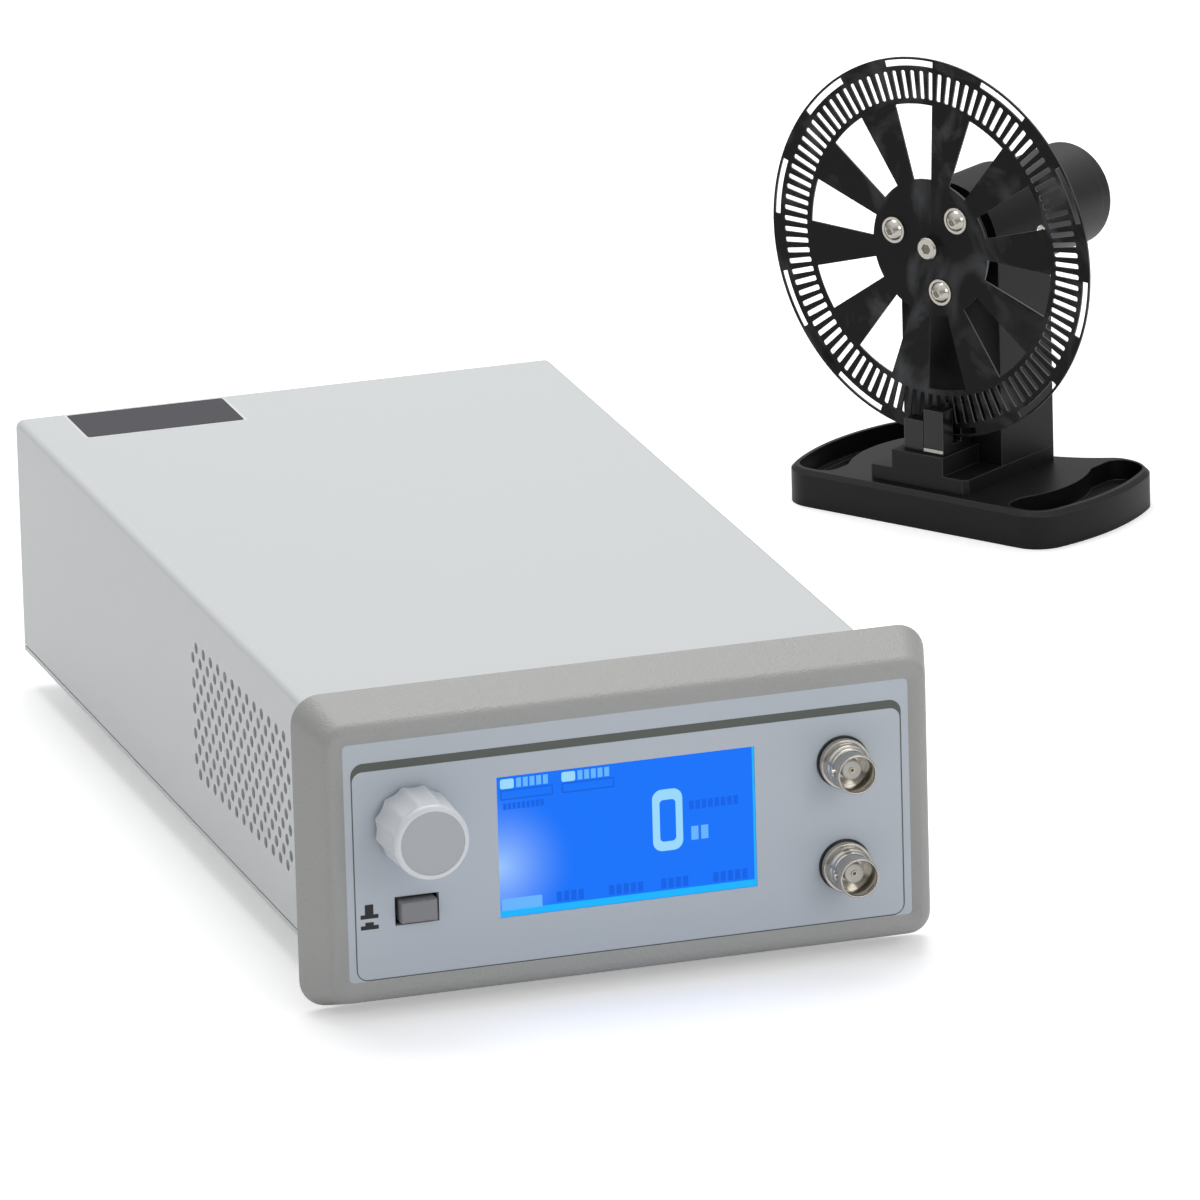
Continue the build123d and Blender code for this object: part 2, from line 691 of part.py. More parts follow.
def encoder_body():
    """Square encoder with its threaded bushing, bored for the shaft and the push plunger."""
    back = PANEL_BACK + ENC_DEPTH
    body = centred(KNOB_X, KNOB_Z, ENC_SIDE, ENC_SIDE, PANEL_BACK, back)
    body += rod(KNOB_X, KNOB_Z, PANEL_FACE - BUSH_OUT, PANEL_BACK, BUSH_D)
    body -= rod(KNOB_X, KNOB_Z, PANEL_FACE - BUSH_OUT, back - ENC_BACK_WALL, SHAFT_D + 2 * RUN_GAP)
    body -= rod(KNOB_X, KNOB_Z, encoder_well(), back - ENC_BACK_WALL, ENC_WELL_D)
    return body


def encoder_well():
    """Front end of the hollow inside the encoder."""
    return PANEL_BACK + ENC_FRONT_WALL


def encoder_nut():
    """Hexagon nut on the encoder's bushing."""
    back = PANEL_FACE - WASHER_T
    nut = hexagon_bar(KNOB_X, KNOB_Z, back - NUT_T, back, NUT_AF)
    return nut - rod(KNOB_X, KNOB_Z, back - NUT_T, back, BUSH_D + 2 * SEAT_GAP)


def encoder_washer():
    """Flat washer between the nut and the panel."""
    washer = rod(KNOB_X, KNOB_Z, PANEL_FACE - WASHER_T, PANEL_FACE, WASHER_D)
    return washer - rod(KNOB_X, KNOB_Z, PANEL_FACE - WASHER_T, PANEL_FACE, BUSH_D + 2 * SEAT_GAP)


def encoder_shaft():
    """Shaft that turns with the knob, with the collar that keeps it in the bushing."""
    front = PANEL_FACE - BUSH_OUT - KNOB_LIFT - SHAFT_GRIP + SHAFT_SHORT
    collar = encoder_well() + RUN_GAP
    shaft = rod(KNOB_X, KNOB_Z, front, collar + SHAFT_COLLAR_T, SHAFT_D)
    return shaft + rod(KNOB_X, KNOB_Z, collar, collar + SHAFT_COLLAR_T, SHAFT_COLLAR_D)


def encoder_plunger():
    """Disc behind the shaft that works the push switch."""
    front = encoder_well() + RUN_GAP + SHAFT_COLLAR_T
    return rod(KNOB_X, KNOB_Z, front, front + PLUNGER_T, PLUNGER_D)


def power_button():
    """Rectangular button with softened edges and a socket for its rod."""
    front = PANEL_FACE - BUTTON_PROUD
    body = centred(BUTTON_X, BUTTON_Z, BUTTON_W, BUTTON_H, front, front + BUTTON_LEN)
    face = body.faces().sort_by(Axis.Y)[0]
    body = fillet(face.edges(), BUTTON_EDGE)
    side = ROD_SIDE + 2 * SEAT_GAP
    return body - centred(BUTTON_X, BUTTON_Z, side, side,
                          front + BUTTON_LEN - ROD_IN_BUTTON, front + BUTTON_LEN)


def button_rod():
    """Square rod between the button and its switch."""
    front = PANEL_FACE - BUTTON_PROUD + BUTTON_LEN - ROD_IN_BUTTON
    return centred(BUTTON_X, BUTTON_Z, ROD_SIDE, ROD_SIDE, front, front + ROD_LEN)


def power_switch():
    """Latching switch held behind the panel by two side plates."""
    front = PANEL_BACK + SWITCH_START
    body = centred(BUTTON_X, BUTTON_Z, SWITCH_W, SWITCH_H, front, front + SWITCH_LEN)
    side = ROD_SIDE + 2 * SLIDE_GAP
    body -= centred(BUTTON_X, BUTTON_Z, side, side, front, front + SWITCH_WELL)
    for turn in (-1, 1):
        edge = BUTTON_X + turn * (SWITCH_W / 2 + CAGE_T / 2)
        body += centred(edge, BUTTON_Z, CAGE_T, SWITCH_H, PANEL_BACK, front + SWITCH_LEN / 2)
    return body


# Controller: bayonet connectors

def bnc_shells():
    """Nickel shells: barrel with two lugs, flange and thread, bored for the insulator."""
    shells = []
    mouth = PANEL_FACE - BNC_FRONT
    flange = PANEL_FACE - BNC_RING_T - BNC_FLANGE_T
    for z in BNC_Z:
        shell = rod(BNC_X, z, mouth, flange, BNC_BARREL_D)
        shell += rod(BNC_X, z, flange, PANEL_FACE - BNC_RING_T, BNC_FLANGE_D)
        shell += rod(BNC_X, z, PANEL_FACE - BNC_RING_T, PANEL_FACE + BNC_TAIL, BNC_THREAD_D)
        lug = Rot(0, 90, 0) * Cylinder(BNC_LUG_D / 2, BNC_BARREL_D + 2 * BNC_LUG_OUT)
        shell += Pos(BNC_X, mouth + BNC_LUG_BACK, z) * lug
        shell -= rod(BNC_X, z, mouth, mouth + BNC_MOUTH_DEPTH, BNC_MOUTH_D)
        shell -= rod(BNC_X, z, mouth, PANEL_FACE + BNC_TAIL, BNC_CORE_D + 2 * SEAT_GAP)
        shells.append(shell)
    return grouped(shells)


def bnc_cores():
    """White insulators inside the shells."""
    front = PANEL_FACE - BNC_FRONT + BNC_CORE_BACKSET
    back = PANEL_FACE + BNC_TAIL
    cores = []
    for z in BNC_Z:
        core = rod(BNC_X, z, front, back, BNC_CORE_D)
        cores.append(core - rod(BNC_X, z, front, back, BNC_PIN_D + 2 * SEAT_GAP))
    return grouped(cores)


def bnc_contacts():
    """Hollow centre contacts."""
    front = PANEL_FACE - BNC_FRONT + BNC_CORE_BACKSET
    back = PANEL_FACE + BNC_TAIL
    pins = []
    for z in BNC_Z:
        pin = rod(BNC_X, z, front, back + BNC_PIN_TAIL, BNC_PIN_D)
        pins.append(pin - rod(BNC_X, z, front, front + BNC_PIN_HOLE_DEPTH, BNC_PIN_HOLE_D))
    return grouped(pins)


def bnc_rings():
    """Dark rings between the flanges and the panel."""
    rings = []
    for z in BNC_Z:
        ring = rod(BNC_X, z, PANEL_FACE - BNC_RING_T, PANEL_FACE, BNC_RING_D)
        rings.append(ring - rod(BNC_X, z, PANEL_FACE - BNC_RING_T, PANEL_FACE,
                                BNC_THREAD_D + 2 * SEAT_GAP))
    return grouped(rings)


def bnc_nuts():
    """Hexagon nuts behind the panel."""
    nuts = []
    for z in BNC_Z:
        nut = hexagon_bar(BNC_X, z, PANEL_BACK, PANEL_BACK + BNC_NUT_T, BNC_NUT_AF)
        nuts.append(nut - rod(BNC_X, z, PANEL_BACK, PANEL_BACK + BNC_NUT_T,
                              BNC_THREAD_D + 2 * SEAT_GAP))
    return grouped(nuts)


# Controller: inside

def board_posts_places():
    """Places of the four pillars under the main board."""
    x = BOARD_W / 2 - POST_INSET
    return [(side * x, y) for side in (-1, 1)
            for y in (BOARD_START + POST_INSET, BOARD_START + BOARD_L - POST_INSET)]


def board_pillars():
    """Pillars between the chassis and the main board."""
    return grouped(upright(x, y, CASE_FLOOR, CASE_FLOOR + BOARD_LIFT, POST_D)
                   for x, y in board_posts_places())


def main_board():
    """Main circuit board with its larger components."""
    low = CASE_FLOOR + BOARD_LIFT
    top = low + BOARD_T
    board = block(-BOARD_W / 2, BOARD_W / 2, BOARD_START, BOARD_START + BOARD_L, low, top)
    for x0, x1, y0, y1, height in CHIPS:
        board += block(x0, x1, y0, y1, top, top + height)
    for index in range(CAPACITORS):
        x = CAPACITOR_X + index * CAPACITOR_PITCH
        board += upright(x, CAPACITOR_Y, top, top + CAPACITOR_H, CAPACITOR_D)
    return board


def power_supply():
    """Screened power supply on the chassis."""
    x0 = SUPPLY_X - SUPPLY_W / 2
    x1 = SUPPLY_X + SUPPLY_W / 2
    y1 = SUPPLY_START + SUPPLY_L
    box = block(x0, x1, SUPPLY_START, y1, CASE_FLOOR, CASE_FLOOR + SUPPLY_H)
    inside = block(x0 + SUPPLY_WALL, x1 - SUPPLY_WALL, SUPPLY_START + SUPPLY_WALL, y1 - SUPPLY_WALL,
                   CASE_FLOOR + SUPPLY_WALL, CASE_FLOOR + SUPPLY_H - SUPPLY_WALL)
    return box - inside


# Controller: rear connectors

def inlet_places():
    """Rear face of the panel, socket height and drawer height of the inlet."""
    return CASE_D - REAR_INSET, CASE_MID - SOCKET_DROP, CASE_MID + DRAWER_RISE


def socket_shape(y0, y1):
    """The inlet's mouth: a rectangle with its two lower corners cut off."""
    _, z, _ = inlet_places()
    mouth = centred(INLET_X, z, SOCKET_W, SOCKET_H, y0, y1)
    low_corners = mouth.edges().filter_by(Axis.Y).group_by(Axis.Z)[0]
    return chamfer(low_corners, SOCKET_CUT)


def power_inlet():
    """Mains inlet: flange outside the panel, body inside, with its socket and drawer shaft."""
    face, socket_z, drawer_z = inlet_places()
    outside = face + INLET_FLANGE_T
    body = plate(INLET_X, CASE_MID, INLET_W, INLET_H, INLET_R, face, outside)
    body += centred(INLET_X, CASE_MID, INLET_BODY_W, INLET_BODY_H, outside - INLET_DEPTH, outside)
    body -= socket_shape(outside - SOCKET_DEPTH, outside)
    body -= centred(INLET_X, drawer_z, DRAWER_W + 2 * SLIDE_GAP, DRAWER_H + 2 * SLIDE_GAP,
                    outside - DRAWER_LEN - DRAWER_SPARE, outside)
    return body


def inlet_pins():
    """Three flat contact blades in the socket."""
    face, z, _ = inlet_places()
    floor = face + INLET_FLANGE_T - SOCKET_DEPTH
    blades = [centred(INLET_X + side * BLADE_PIN_GAP, z - LINE_PIN_DROP, BLADE_PIN_T, BLADE_PIN_W,
                      floor, floor + BLADE_PIN_LEN) for side in (-1, 1)]
    blades.append(centred(INLET_X, z + EARTH_PIN_RISE, BLADE_PIN_T, BLADE_PIN_W,
                          floor, floor + BLADE_PIN_LEN))
    return grouped(blades)


def fuse_drawer():
    """Drawer with a finger lip, cradling the fuse."""
    face, _, z = inlet_places()
    outside = face + INLET_FLANGE_T
    tray = centred(INLET_X, z, DRAWER_W, DRAWER_H, outside - DRAWER_LEN, outside)
    tray += centred(INLET_X, z, DRAWER_W + 2 * DRAWER_LIP, DRAWER_H + 2 * DRAWER_LIP,
                    outside + SLIDE_GAP, outside + DRAWER_FACE_T)
    tray += centred(INLET_X, z, DRAWER_W, DRAWER_H, outside, outside + SLIDE_GAP)
    half_l = FUSE_L / 2 + FUSE_ROOM
    half_d = FUSE_D / 2 + FUSE_ROOM
    tray -= block(INLET_X - half_l, INLET_X + half_l, fuse_y() - half_d, fuse_y() + half_d,
                  z - FUSE_D / 2, z + DRAWER_H / 2)
    return tray


def fuse_y():
    """Depth at which the fuse lies in its drawer."""
    face, _, _ = inlet_places()
    return face + INLET_FLANGE_T - DRAWER_LEN / 2


def fuse():
    """Glass fuse with its two metal caps."""
    _, _, z = inlet_places()
    glass = Rot(0, 90, 0) * Cylinder(FUSE_D / 2 - FUSE_CAP_STEP, FUSE_L)
    for side in (-1, 1):
        cap = Rot(0, 90, 0) * Cylinder(FUSE_D / 2, FUSE_CAP_L)
        glass += Pos(side * (FUSE_L - FUSE_CAP_L) / 2, 0, 0) * cap
    return Pos(INLET_X, fuse_y(), z) * glass


def voltage_selector():
    """Body of the line voltage selector, behind its window in the rear panel."""
    face = CASE_D - REAR_INSET - REAR_T
    body = centred(SELECTOR_X, SELECTOR_Z, SELECTOR_W, SELECTOR_H, face - SELECTOR_DEPTH, face)
    channel = SLIDER_W + SLIDER_TRAVEL + 2 * SLIDE_GAP
    return body - centred(SELECTOR_X, SELECTOR_Z, channel, SLIDER_H + 2 * SLIDE_GAP,
                          face - SELECTOR_WELL, face)


def selector_slider():
    """Slotted slider of the line voltage selector, at one end of its channel."""
    face = CASE_D - REAR_INSET - REAR_T
    x = SELECTOR_X - SLIDER_TRAVEL / 2
    slider = centred(x, SELECTOR_Z, SLIDER_W, SLIDER_H, face - SELECTOR_WELL + SLIDE_GAP,
                     face + SLIDER_PROUD)
    return slider - centred(x, SELECTOR_Z, SLIDER_SLOT_W, SLIDER_SLOT_H, face - SLIDER_PROUD,
                            face + SLIDER_PROUD)


def round_socket(x, z, face, flange_d, flange_t, diameter, depth):
    """A round panel socket that faces the back, with a ring gap around its contact block."""
    body = rod(x, z, face, face + flange_t, flange_d)
    body += rod(x, z, face - depth, face, diameter)
    ring = rod(x, z, face - DIN_RING_DEPTH, face + flange_t, DIN_CORE_D)
    ring -= rod(x, z, face - DIN_RING_DEPTH, face + flange_t, DIN_CORE_D - 2 * DIN_RING_W)
    body -= ring
    for index in range(DIN_PINS):
        across, up = polar(DIN_PIN_R, DIN_PIN_PHASE + index * 360 / DIN_PINS)
        body -= rod(x + across, z + up, face - DIN_PIN_DEPTH, face + flange_t, DIN_PIN_D)
    return body


def head_socket():
    """Round socket for the chopper head, in the rear panel."""
    return round_socket(DIN_X, DIN_Z, CASE_D - REAR_INSET, DIN_FLANGE_D, DIN_FLANGE_T, DIN_D, DIN_DEPTH)


def data_socket():
    """Square data socket with its tongue."""
    back = CASE_D - REAR_INSET + DATA_PROUD
    front = back - DATA_DEPTH
    shell = centred(DATA_X, DATA_Z, DATA_W, DATA_H, front, back)
    shell -= centred(DATA_X, DATA_Z, DATA_W - 2 * DATA_WALL, DATA_H - 2 * DATA_WALL,
                     front + DATA_WALL, back)
    return shell + centred(DATA_X, DATA_Z, TONGUE_W, TONGUE_H, front + DATA_WALL, back - TONGUE_BACKSET)


# Chopper head: base, foot and post

def bowed_block(inset):
    """Straight front and back with bowed ends, moved in by an inset; corners still sharp."""
    middle = (BASE_FRONT + BASE_BACK) / 2
    depth = BASE_BACK - BASE_FRONT - 2 * inset
    outline = Pos(0, middle) * Rectangle(2 * BASE_HALF, depth)
    for side in (-1, 1):
        outline &= Pos(side * (BASE_END_R - BASE_HALF), BASE_MID) * Circle(BASE_END_R - inset)
    return outline


def base_outline():
    """Outline of the base: bowed ends with round corners, and a waist between two lobes."""
    outline = bowed_block(0) - Pos(0, BASE_WAIST + WAIST_R) * Circle(WAIST_R)
    outline = fillet(outline.vertices().group_by(Axis.Y)[0], FRONT_CORNER_R)
    lobes = outline.vertices().group_by(Axis.Y)[-1].sort_by(Axis.X)
    outline = fillet([lobes[0], lobes[-1]], LOBE_OUTER_R)
    waist = outline.vertices().group_by(Axis.Y)[-1].sort_by(lambda corner: abs(corner.X))[:2]
    return fillet(waist, LOBE_INNER_R)


def pockets():
    """The two pockets: inside the rim, outside the middle and a round land, with soft corners."""
    inside = bowed_block(BASE_RIM)
    inside -= Pos(0, BASE_MID) * Circle(POCKET_INNER_R)
    inside -= Pos(0, BASE_MID) * Rectangle(2 * POCKET_START, 4 * POCKET_INNER_R)
    inner = [corner for corner in inside.vertices() if abs(corner.X) < POCKET_START + 0.5]
    inside = fillet(inner, POCKET_CORNER_R)
    front = inside.vertices().group_by(Axis.Y)[0].sort_by(Axis.X)
    inside = fillet([front[0], front[-1]], FRONT_CORNER_R - BASE_RIM)
    back = inside.vertices().group_by(Axis.Y)[-1].sort_by(Axis.X)
    return fillet([back[0], back[-1]], POCKET_BACK_R)


def head_base():
    """Base plate with its chamfered rim, two pockets, two bolt slots and a post hole below."""
    base = extrude(base_outline(), BASE_T)
    rim = base.faces().sort_by(Axis.Z)[-1].edges()
    base = chamfer(rim, BASE_CHAMFER)
    base -= Pos(0, 0, BASE_T - POCKET_DEPTH) * extrude(pockets(), POCKET_DEPTH)
    for side in (-1, 1):
        slot = Pos(side * SLOT_SPACING / 2, BASE_MID) * Rot(0, 0, 90) * SlotOverall(SLOT_L, SLOT_W)
        base -= extrude(slot, BASE_T)
    base -= upright(0, BASE_MID, 0, POST_HOLE_DEPTH, POST_HOLE_D)
    for x, y in bolt_places():
        base -= upright(x, y, 0, BASE_T, BOLT_D + 2 * THREAD_GAP)
        base -= upright(x, y, 0, BOLT_HEAD_T + BOLT_SINK, BOLT_HEAD_D + BOLT_SINK)
    return base


def bolt_places():
    """Bolts that come up through the base, two into the post and one into the step."""
    return BOLT_PLACES + ((0.0, STEP_BOLT_Y),)


def step_top():
    """Height of the upper step, on which the sensors stand."""
    return BASE_T + STEP_LOW + STEP_HIGH


def sensor_foot():
    """Stepped block: a wide low step under the post and a narrow high step for the sensors."""
    low = block(-POST_W / 2, POST_W / 2, FOOT_FRONT, POST_FRONT + POST_DEPTH, BASE_T, BASE_T + STEP_LOW)
    corners = low.edges().filter_by(Axis.Z).group_by(Axis.Y)[0]
    low = chamfer(corners, FOOT_CHAMFER)
    low += block(-STEP_W / 2, STEP_W / 2, FOOT_FRONT, POST_FRONT, BASE_T + STEP_LOW, step_top())
    for x, y in bolt_places():
        low -= upright(x, y, BASE_T, BASE_T + STEP_LOW, BOLT_D + 2 * THREAD_GAP)
    low -= upright(0, STEP_BOLT_Y, BASE_T, step_top() - STEP_COVER, BOLT_D + 2 * THREAD_GAP)
    return low


def motor_post():
    """Pillar with a round top, bored from behind for the motor."""
    back = POST_FRONT + POST_DEPTH
    low = BASE_T + STEP_LOW
    post = block(-POST_W / 2, POST_W / 2, POST_FRONT, back, low, AXIS_H)
    post += rod(0, AXIS_H, POST_FRONT, back, POST_W)
    post -= rod(0, AXIS_H, POST_FRONT + POST_WALL, back, MOTOR_D + 2 * SEAT_GAP)
    post -= rod(0, AXIS_H, POST_FRONT, POST_FRONT + POST_WALL, HUB_NOSE_D + 2 * NOSE_ROOM)
    side_hole = Rot(0, 90, 0) * Cylinder(SIDE_SCREW_D / 2 + THREAD_GAP, POST_W / 2)
    post -= Pos(POST_W / 2, SIDE_SCREW_Y, AXIS_H) * side_hole
    post -= rod(0, JACK_Z, back - JACK_DEPTH - JACK_LEAD_ROOM, back, JACK_D + 2 * PANEL_GAP)
    for x, y in BOLT_PLACES:
        post -= upright(x, y, low, low + BOLT_BITE + BOLT_SPARE, BOLT_D + 2 * THREAD_GAP)
    return post


def side_screw():
    """Set screw in the side of the post that clamps the motor."""
    seat = MOTOR_D / 2 + SEAT_GAP
    length = POST_W / 2 + SIDE_SCREW_PROUD - seat
    screw = Pos(seat + length / 2, SIDE_SCREW_Y, AXIS_H) * Rot(0, 90, 0) * Cylinder(
        SIDE_SCREW_D / 2, length)
    end = screw.faces().sort_by(Axis.X)[-1]
    screw = chamfer(end.edges(), SIDE_SCREW_EDGE)
    socket = Plane(origin=(seat + length, SIDE_SCREW_Y, AXIS_H), x_dir=(0, 1, 0), z_dir=(-1, 0, 0))
    return screw - extrude(socket * RegularPolygon(HEX_AF / 2, 6, major_radius=False), SIDE_HEX_DEPTH)


def base_bolts():
    """Socket screws from below, two into the post and one into the step."""
    bolts = []
    low = BOLT_HEAD_T + BOLT_SINK
    for x, y in bolt_places():
        tip = BASE_T + STEP_LOW + (BOLT_BITE if y != STEP_BOLT_Y else STEP_HIGH - STEP_BOLT_SHORT)
        bolt = upright(x, y, low - BOLT_HEAD_T, low, BOLT_HEAD_D) + upright(x, y, low, tip, BOLT_D)
        socket = Plane(origin=(x, y, low - BOLT_HEAD_T), x_dir=(1, 0, 0), z_dir=(0, 0, 1))
        bolts.append(bolt - extrude(socket * RegularPolygon(BOLT_HEX_AF / 2, 6, major_radius=False),
                                      BOLT_HEX_DEPTH))
    return grouped(bolts)


def signal_jack():
    """Round socket in the back of the post for the motor and sensor leads."""
    return round_socket(0, JACK_Z, POST_FRONT + POST_DEPTH, JACK_FLANGE_D, JACK_FLANGE_T,
                        JACK_D, JACK_DEPTH)


# Chopper head: motor

def motor_front():
    """Front face of the motor, against the post's front wall."""
    return POST_FRONT + POST_WALL


def motor_can():
    """Drawn steel can with the front bearing's boss."""
    front = motor_front()
    end = MOTOR_END - CAP_LEN
    can = rod(0, AXIS_H, front, end, MOTOR_D)
    bearing = front + BEARING_SET
    can -= rod(0, AXIS_H, front + CAN_FRONT_T, end, MOTOR_D - 2 * MOTOR_WALL)
    can += rod(0, AXIS_H, front + CAN_FRONT_T, bearing + BEARING_L, BEARING_BOSS_D)
    can -= rod(0, AXIS_H, bearing, bearing + BEARING_L, BEARING_D + 2 * SEAT_GAP)
    return can - rod(0, AXIS_H, front, bearing, SHAFT_CLEAR_D)


def motor_cap():
    """Rear cap with its spigot and the rear bearing's boss."""
    joint = MOTOR_END - CAP_LEN
    cap = rod(0, AXIS_H, joint, MOTOR_END, MOTOR_D)
    cap = fillet(cap.faces().sort_by(Axis.Y)[-1].edges(), CAP_ROUND)
    cap += rod(0, AXIS_H, joint - SPIGOT_LEN, joint, MOTOR_D - 2 * MOTOR_WALL - 2 * SEAT_GAP)
    cap -= rod(0, AXIS_H, joint - SPIGOT_LEN, joint, BEARING_D + 2 * SEAT_GAP)
    return cap


def rear_bearing_front():
    """Front face of the rear bearing."""
    return MOTOR_END - CAP_LEN - BEARING_L


def motor_bearings():
    """Front and rear bearings of the shaft."""
    rings = []
    for front in (motor_front() + BEARING_SET, rear_bearing_front()):
        ring = rod(0, AXIS_H, front, front + BEARING_L, BEARING_D)
        ring -= rod(0, AXIS_H, front, front + BEARING_L, ROTOR_SHAFT_D + 2 * RUN_GAP)
        rings.append(ring)
    return grouped(rings)


def magnet_start():
    """Front end of the magnets and of the wound core."""
    return motor_front() + MAGNET_START


def motor_magnets():
    """Two curved magnets inside the can."""
    outer = MOTOR_D - 2 * MOTOR_WALL - 2 * SEAT_GAP
    ring = rod(0, AXIS_H, magnet_start(), magnet_start() + MAGNET_LEN, outer)
    ring -= rod(0, AXIS_H, magnet_start(), magnet_start() + MAGNET_LEN, outer - 2 * MAGNET_T)
    gap = centred(0, AXIS_H, MAGNET_SPLIT, MOTOR_D, magnet_start(), magnet_start() + MAGNET_LEN)
    return grouped((ring - gap).solids())


def motor_core():
    """Slotted rotor core that turns between the magnets."""
    outer = MOTOR_D - 2 * MOTOR_WALL - 2 * SEAT_GAP - 2 * MAGNET_T - 2 * AIR_GAP
    back = magnet_start() + MAGNET_LEN
    core = rod(0, AXIS_H, magnet_start(), back, outer)
    for index in range(CORE_SLOTS):
        slot = Pos(0, (magnet_start() + back) / 2, outer / 2) * Box(
            CORE_SLOT_W, MAGNET_LEN, 2 * CORE_SLOT_DEPTH)
        core -= Pos(0, 0, AXIS_H) * Rot(0, index * 360 / CORE_SLOTS, 0) * slot
    return core - rod(0, AXIS_H, magnet_start(), back, ROTOR_SHAFT_D + 2 * SEAT_GAP)


def motor_shaft():
    """Shaft from the hub through both bearings."""
    front = hub_front() + HUB_WALL
    back = rear_bearing_front() + BEARING_L - SHAFT_BACKSET
    shaft = rod(0, AXIS_H, front, back, ROTOR_SHAFT_D)
    return shaft - rod(0, AXIS_H, front, front + SHAFT_TAP_DEPTH,
                       SHAFT_TAP_D + 2 * THREAD_GAP)


# Chopper head: hub and blade

def hub_front():
    """Face of the hub against which the blade is clamped."""
    return BLADE_T / 2


def blade_screw_places():
    """Screw circle of the blade, as across and up from its centre."""
    return [polar(BLADE_SCREW_R, BLADE_SCREW_PHASE + index * 360 / BLADE_SCREWS)
            for index in range(BLADE_SCREWS)]


def blade_hub():
    """Flanged hub behind the blade, bored for the motor shaft."""
    front = hub_front()
    hub = rod(0, AXIS_H, front, front + HUB_FLANGE_T, HUB_FLANGE_D)
    hub += rod(0, AXIS_H, front, POST_FRONT - HUB_GAP, HUB_NOSE_D)
    hub -= rod(0, AXIS_H, front + HUB_WALL, POST_FRONT - HUB_GAP, ROTOR_SHAFT_D + 2 * SEAT_GAP)
    hub -= rod(0, AXIS_H, front, front + HUB_WALL, CENTRE_HOLE_D)
    for across, up in blade_screw_places():
        hub -= rod(across, AXIS_H + up, front, front + HUB_FLANGE_T, SCREW_D + 2 * THREAD_GAP)
    return hub


def ring_sector(inner, outer, start, sweep):
    """A flat piece of a ring between two radii, seen from the front."""
    a = polar(inner, start)
    b = polar(outer, start)
    c = polar(outer, start + sweep / 2)
    d = polar(outer, start + sweep)
    e = polar(inner, start + sweep)
    f = polar(inner, start + sweep / 2)
    edges = [Line(a, b), ThreePointArc(b, c, d), Line(d, e), ThreePointArc(e, f, a)]
    return make_face(Curve() + edges)


def fine_slot():
    """One radial slot of the fine track, as wide as the web beside it."""
    middle = (FINE_INNER_R + FINE_OUTER_R) / 2
    width = math.pi * middle / FINE_SLOTS
    return Pos(middle, 0) * Rectangle(FINE_OUTER_R - FINE_INNER_R, width)


def blade():
    """Thin blade with three tracks: ten wide openings, a hundred fine slots and ten rim windows."""
    disc = Circle(BLADE_D / 2)
    step = 360 / OPENINGS
    cuts = []
    for index in range(OPENINGS):
        start = BLADE_PHASE + index * step
        cuts.append(ring_sector(OPENING_INNER_R, OPENING_OUTER_R, start, step / 2))
        cuts.append(ring_sector(WINDOW_INNER_R, WINDOW_OUTER_R, start, step / 2))
    pitch = 360 / FINE_SLOTS
    for index in range(FINE_SLOTS):
        cuts.append(Rot(0, 0, BLADE_PHASE + pitch / 4 + index * pitch) * fine_slot())
    for across, up in blade_screw_places():
        cuts.append(Pos(across, up) * Circle(SCREW_D / 2 + 2 * THREAD_GAP))
    cuts.append(Circle(CENTRE_HEAD_D / 2 + 2 * THREAD_GAP))
    sheet = facing(0, BLADE_T / 2, AXIS_H) * (disc - cuts)
    return extrude(sheet, BLADE_T)


def blade_washers():
    """Washers under the blade's screw heads."""
    back = -BLADE_T / 2
    washers = []
    for across, up in blade_screw_places():
        washer = rod(across, AXIS_H + up, back - BLADE_WASHER_T, back, BLADE_WASHER_D)
        washers.append(washer - rod(across, AXIS_H + up, back - BLADE_WASHER_T, back,
                                    SCREW_D + 2 * THREAD_GAP))
    return grouped(washers)


def button_screw(length):
    """A domed socket screw along Y, its seat at Y = 0 and its head to the front."""
    rise = BUTTON_HEAD_T
    half = BUTTON_HEAD_D / 2
    dome_r = (half ** 2 + rise ** 2) / (2 * rise)
    dome = Pos(0, dome_r - rise, 0) * Sphere(dome_r)
    head = dome & rod(0, 0, -rise, 0, BUTTON_HEAD_D)
    head -= hexagon_bar(0, 0, -rise, -rise + HEX_DEPTH, HEX_AF)
    return head + rod(0, 0, 0, length, SCREW_D)


def blade_screws():
    """Domed screws that clamp the blade to the hub."""
    seat = -BLADE_T / 2 - BLADE_WASHER_T
    length = BLADE_T + BLADE_WASHER_T + HUB_FLANGE_T
    return grouped(Pos(across, seat, AXIS_H + up) * button_screw(length)
                   for across, up in blade_screw_places())


def centre_screw():
    """Socket screw that holds the hub on the shaft, its head through the blade."""
    front = -BLADE_T / 2 - CENTRE_PROUD
    seat = hub_front()
    screw = rod(0, AXIS_H, front, seat, CENTRE_HEAD_D)
    screw = chamfer(screw.faces().sort_by(Axis.Y)[0].edges(), CENTRE_EDGE)
    screw += rod(0, AXIS_H, seat, seat + HUB_WALL, CENTRE_HOLE_D - 2 * THREAD_GAP)
    screw += rod(0, AXIS_H, seat + HUB_WALL, seat + HUB_WALL + CENTRE_BITE, SHAFT_TAP_D)
    return screw - hexagon_bar(0, AXIS_H, front, front + CENTRE_HEX_DEPTH, CENTRE_HEX_AF)


# Chopper head: sensors

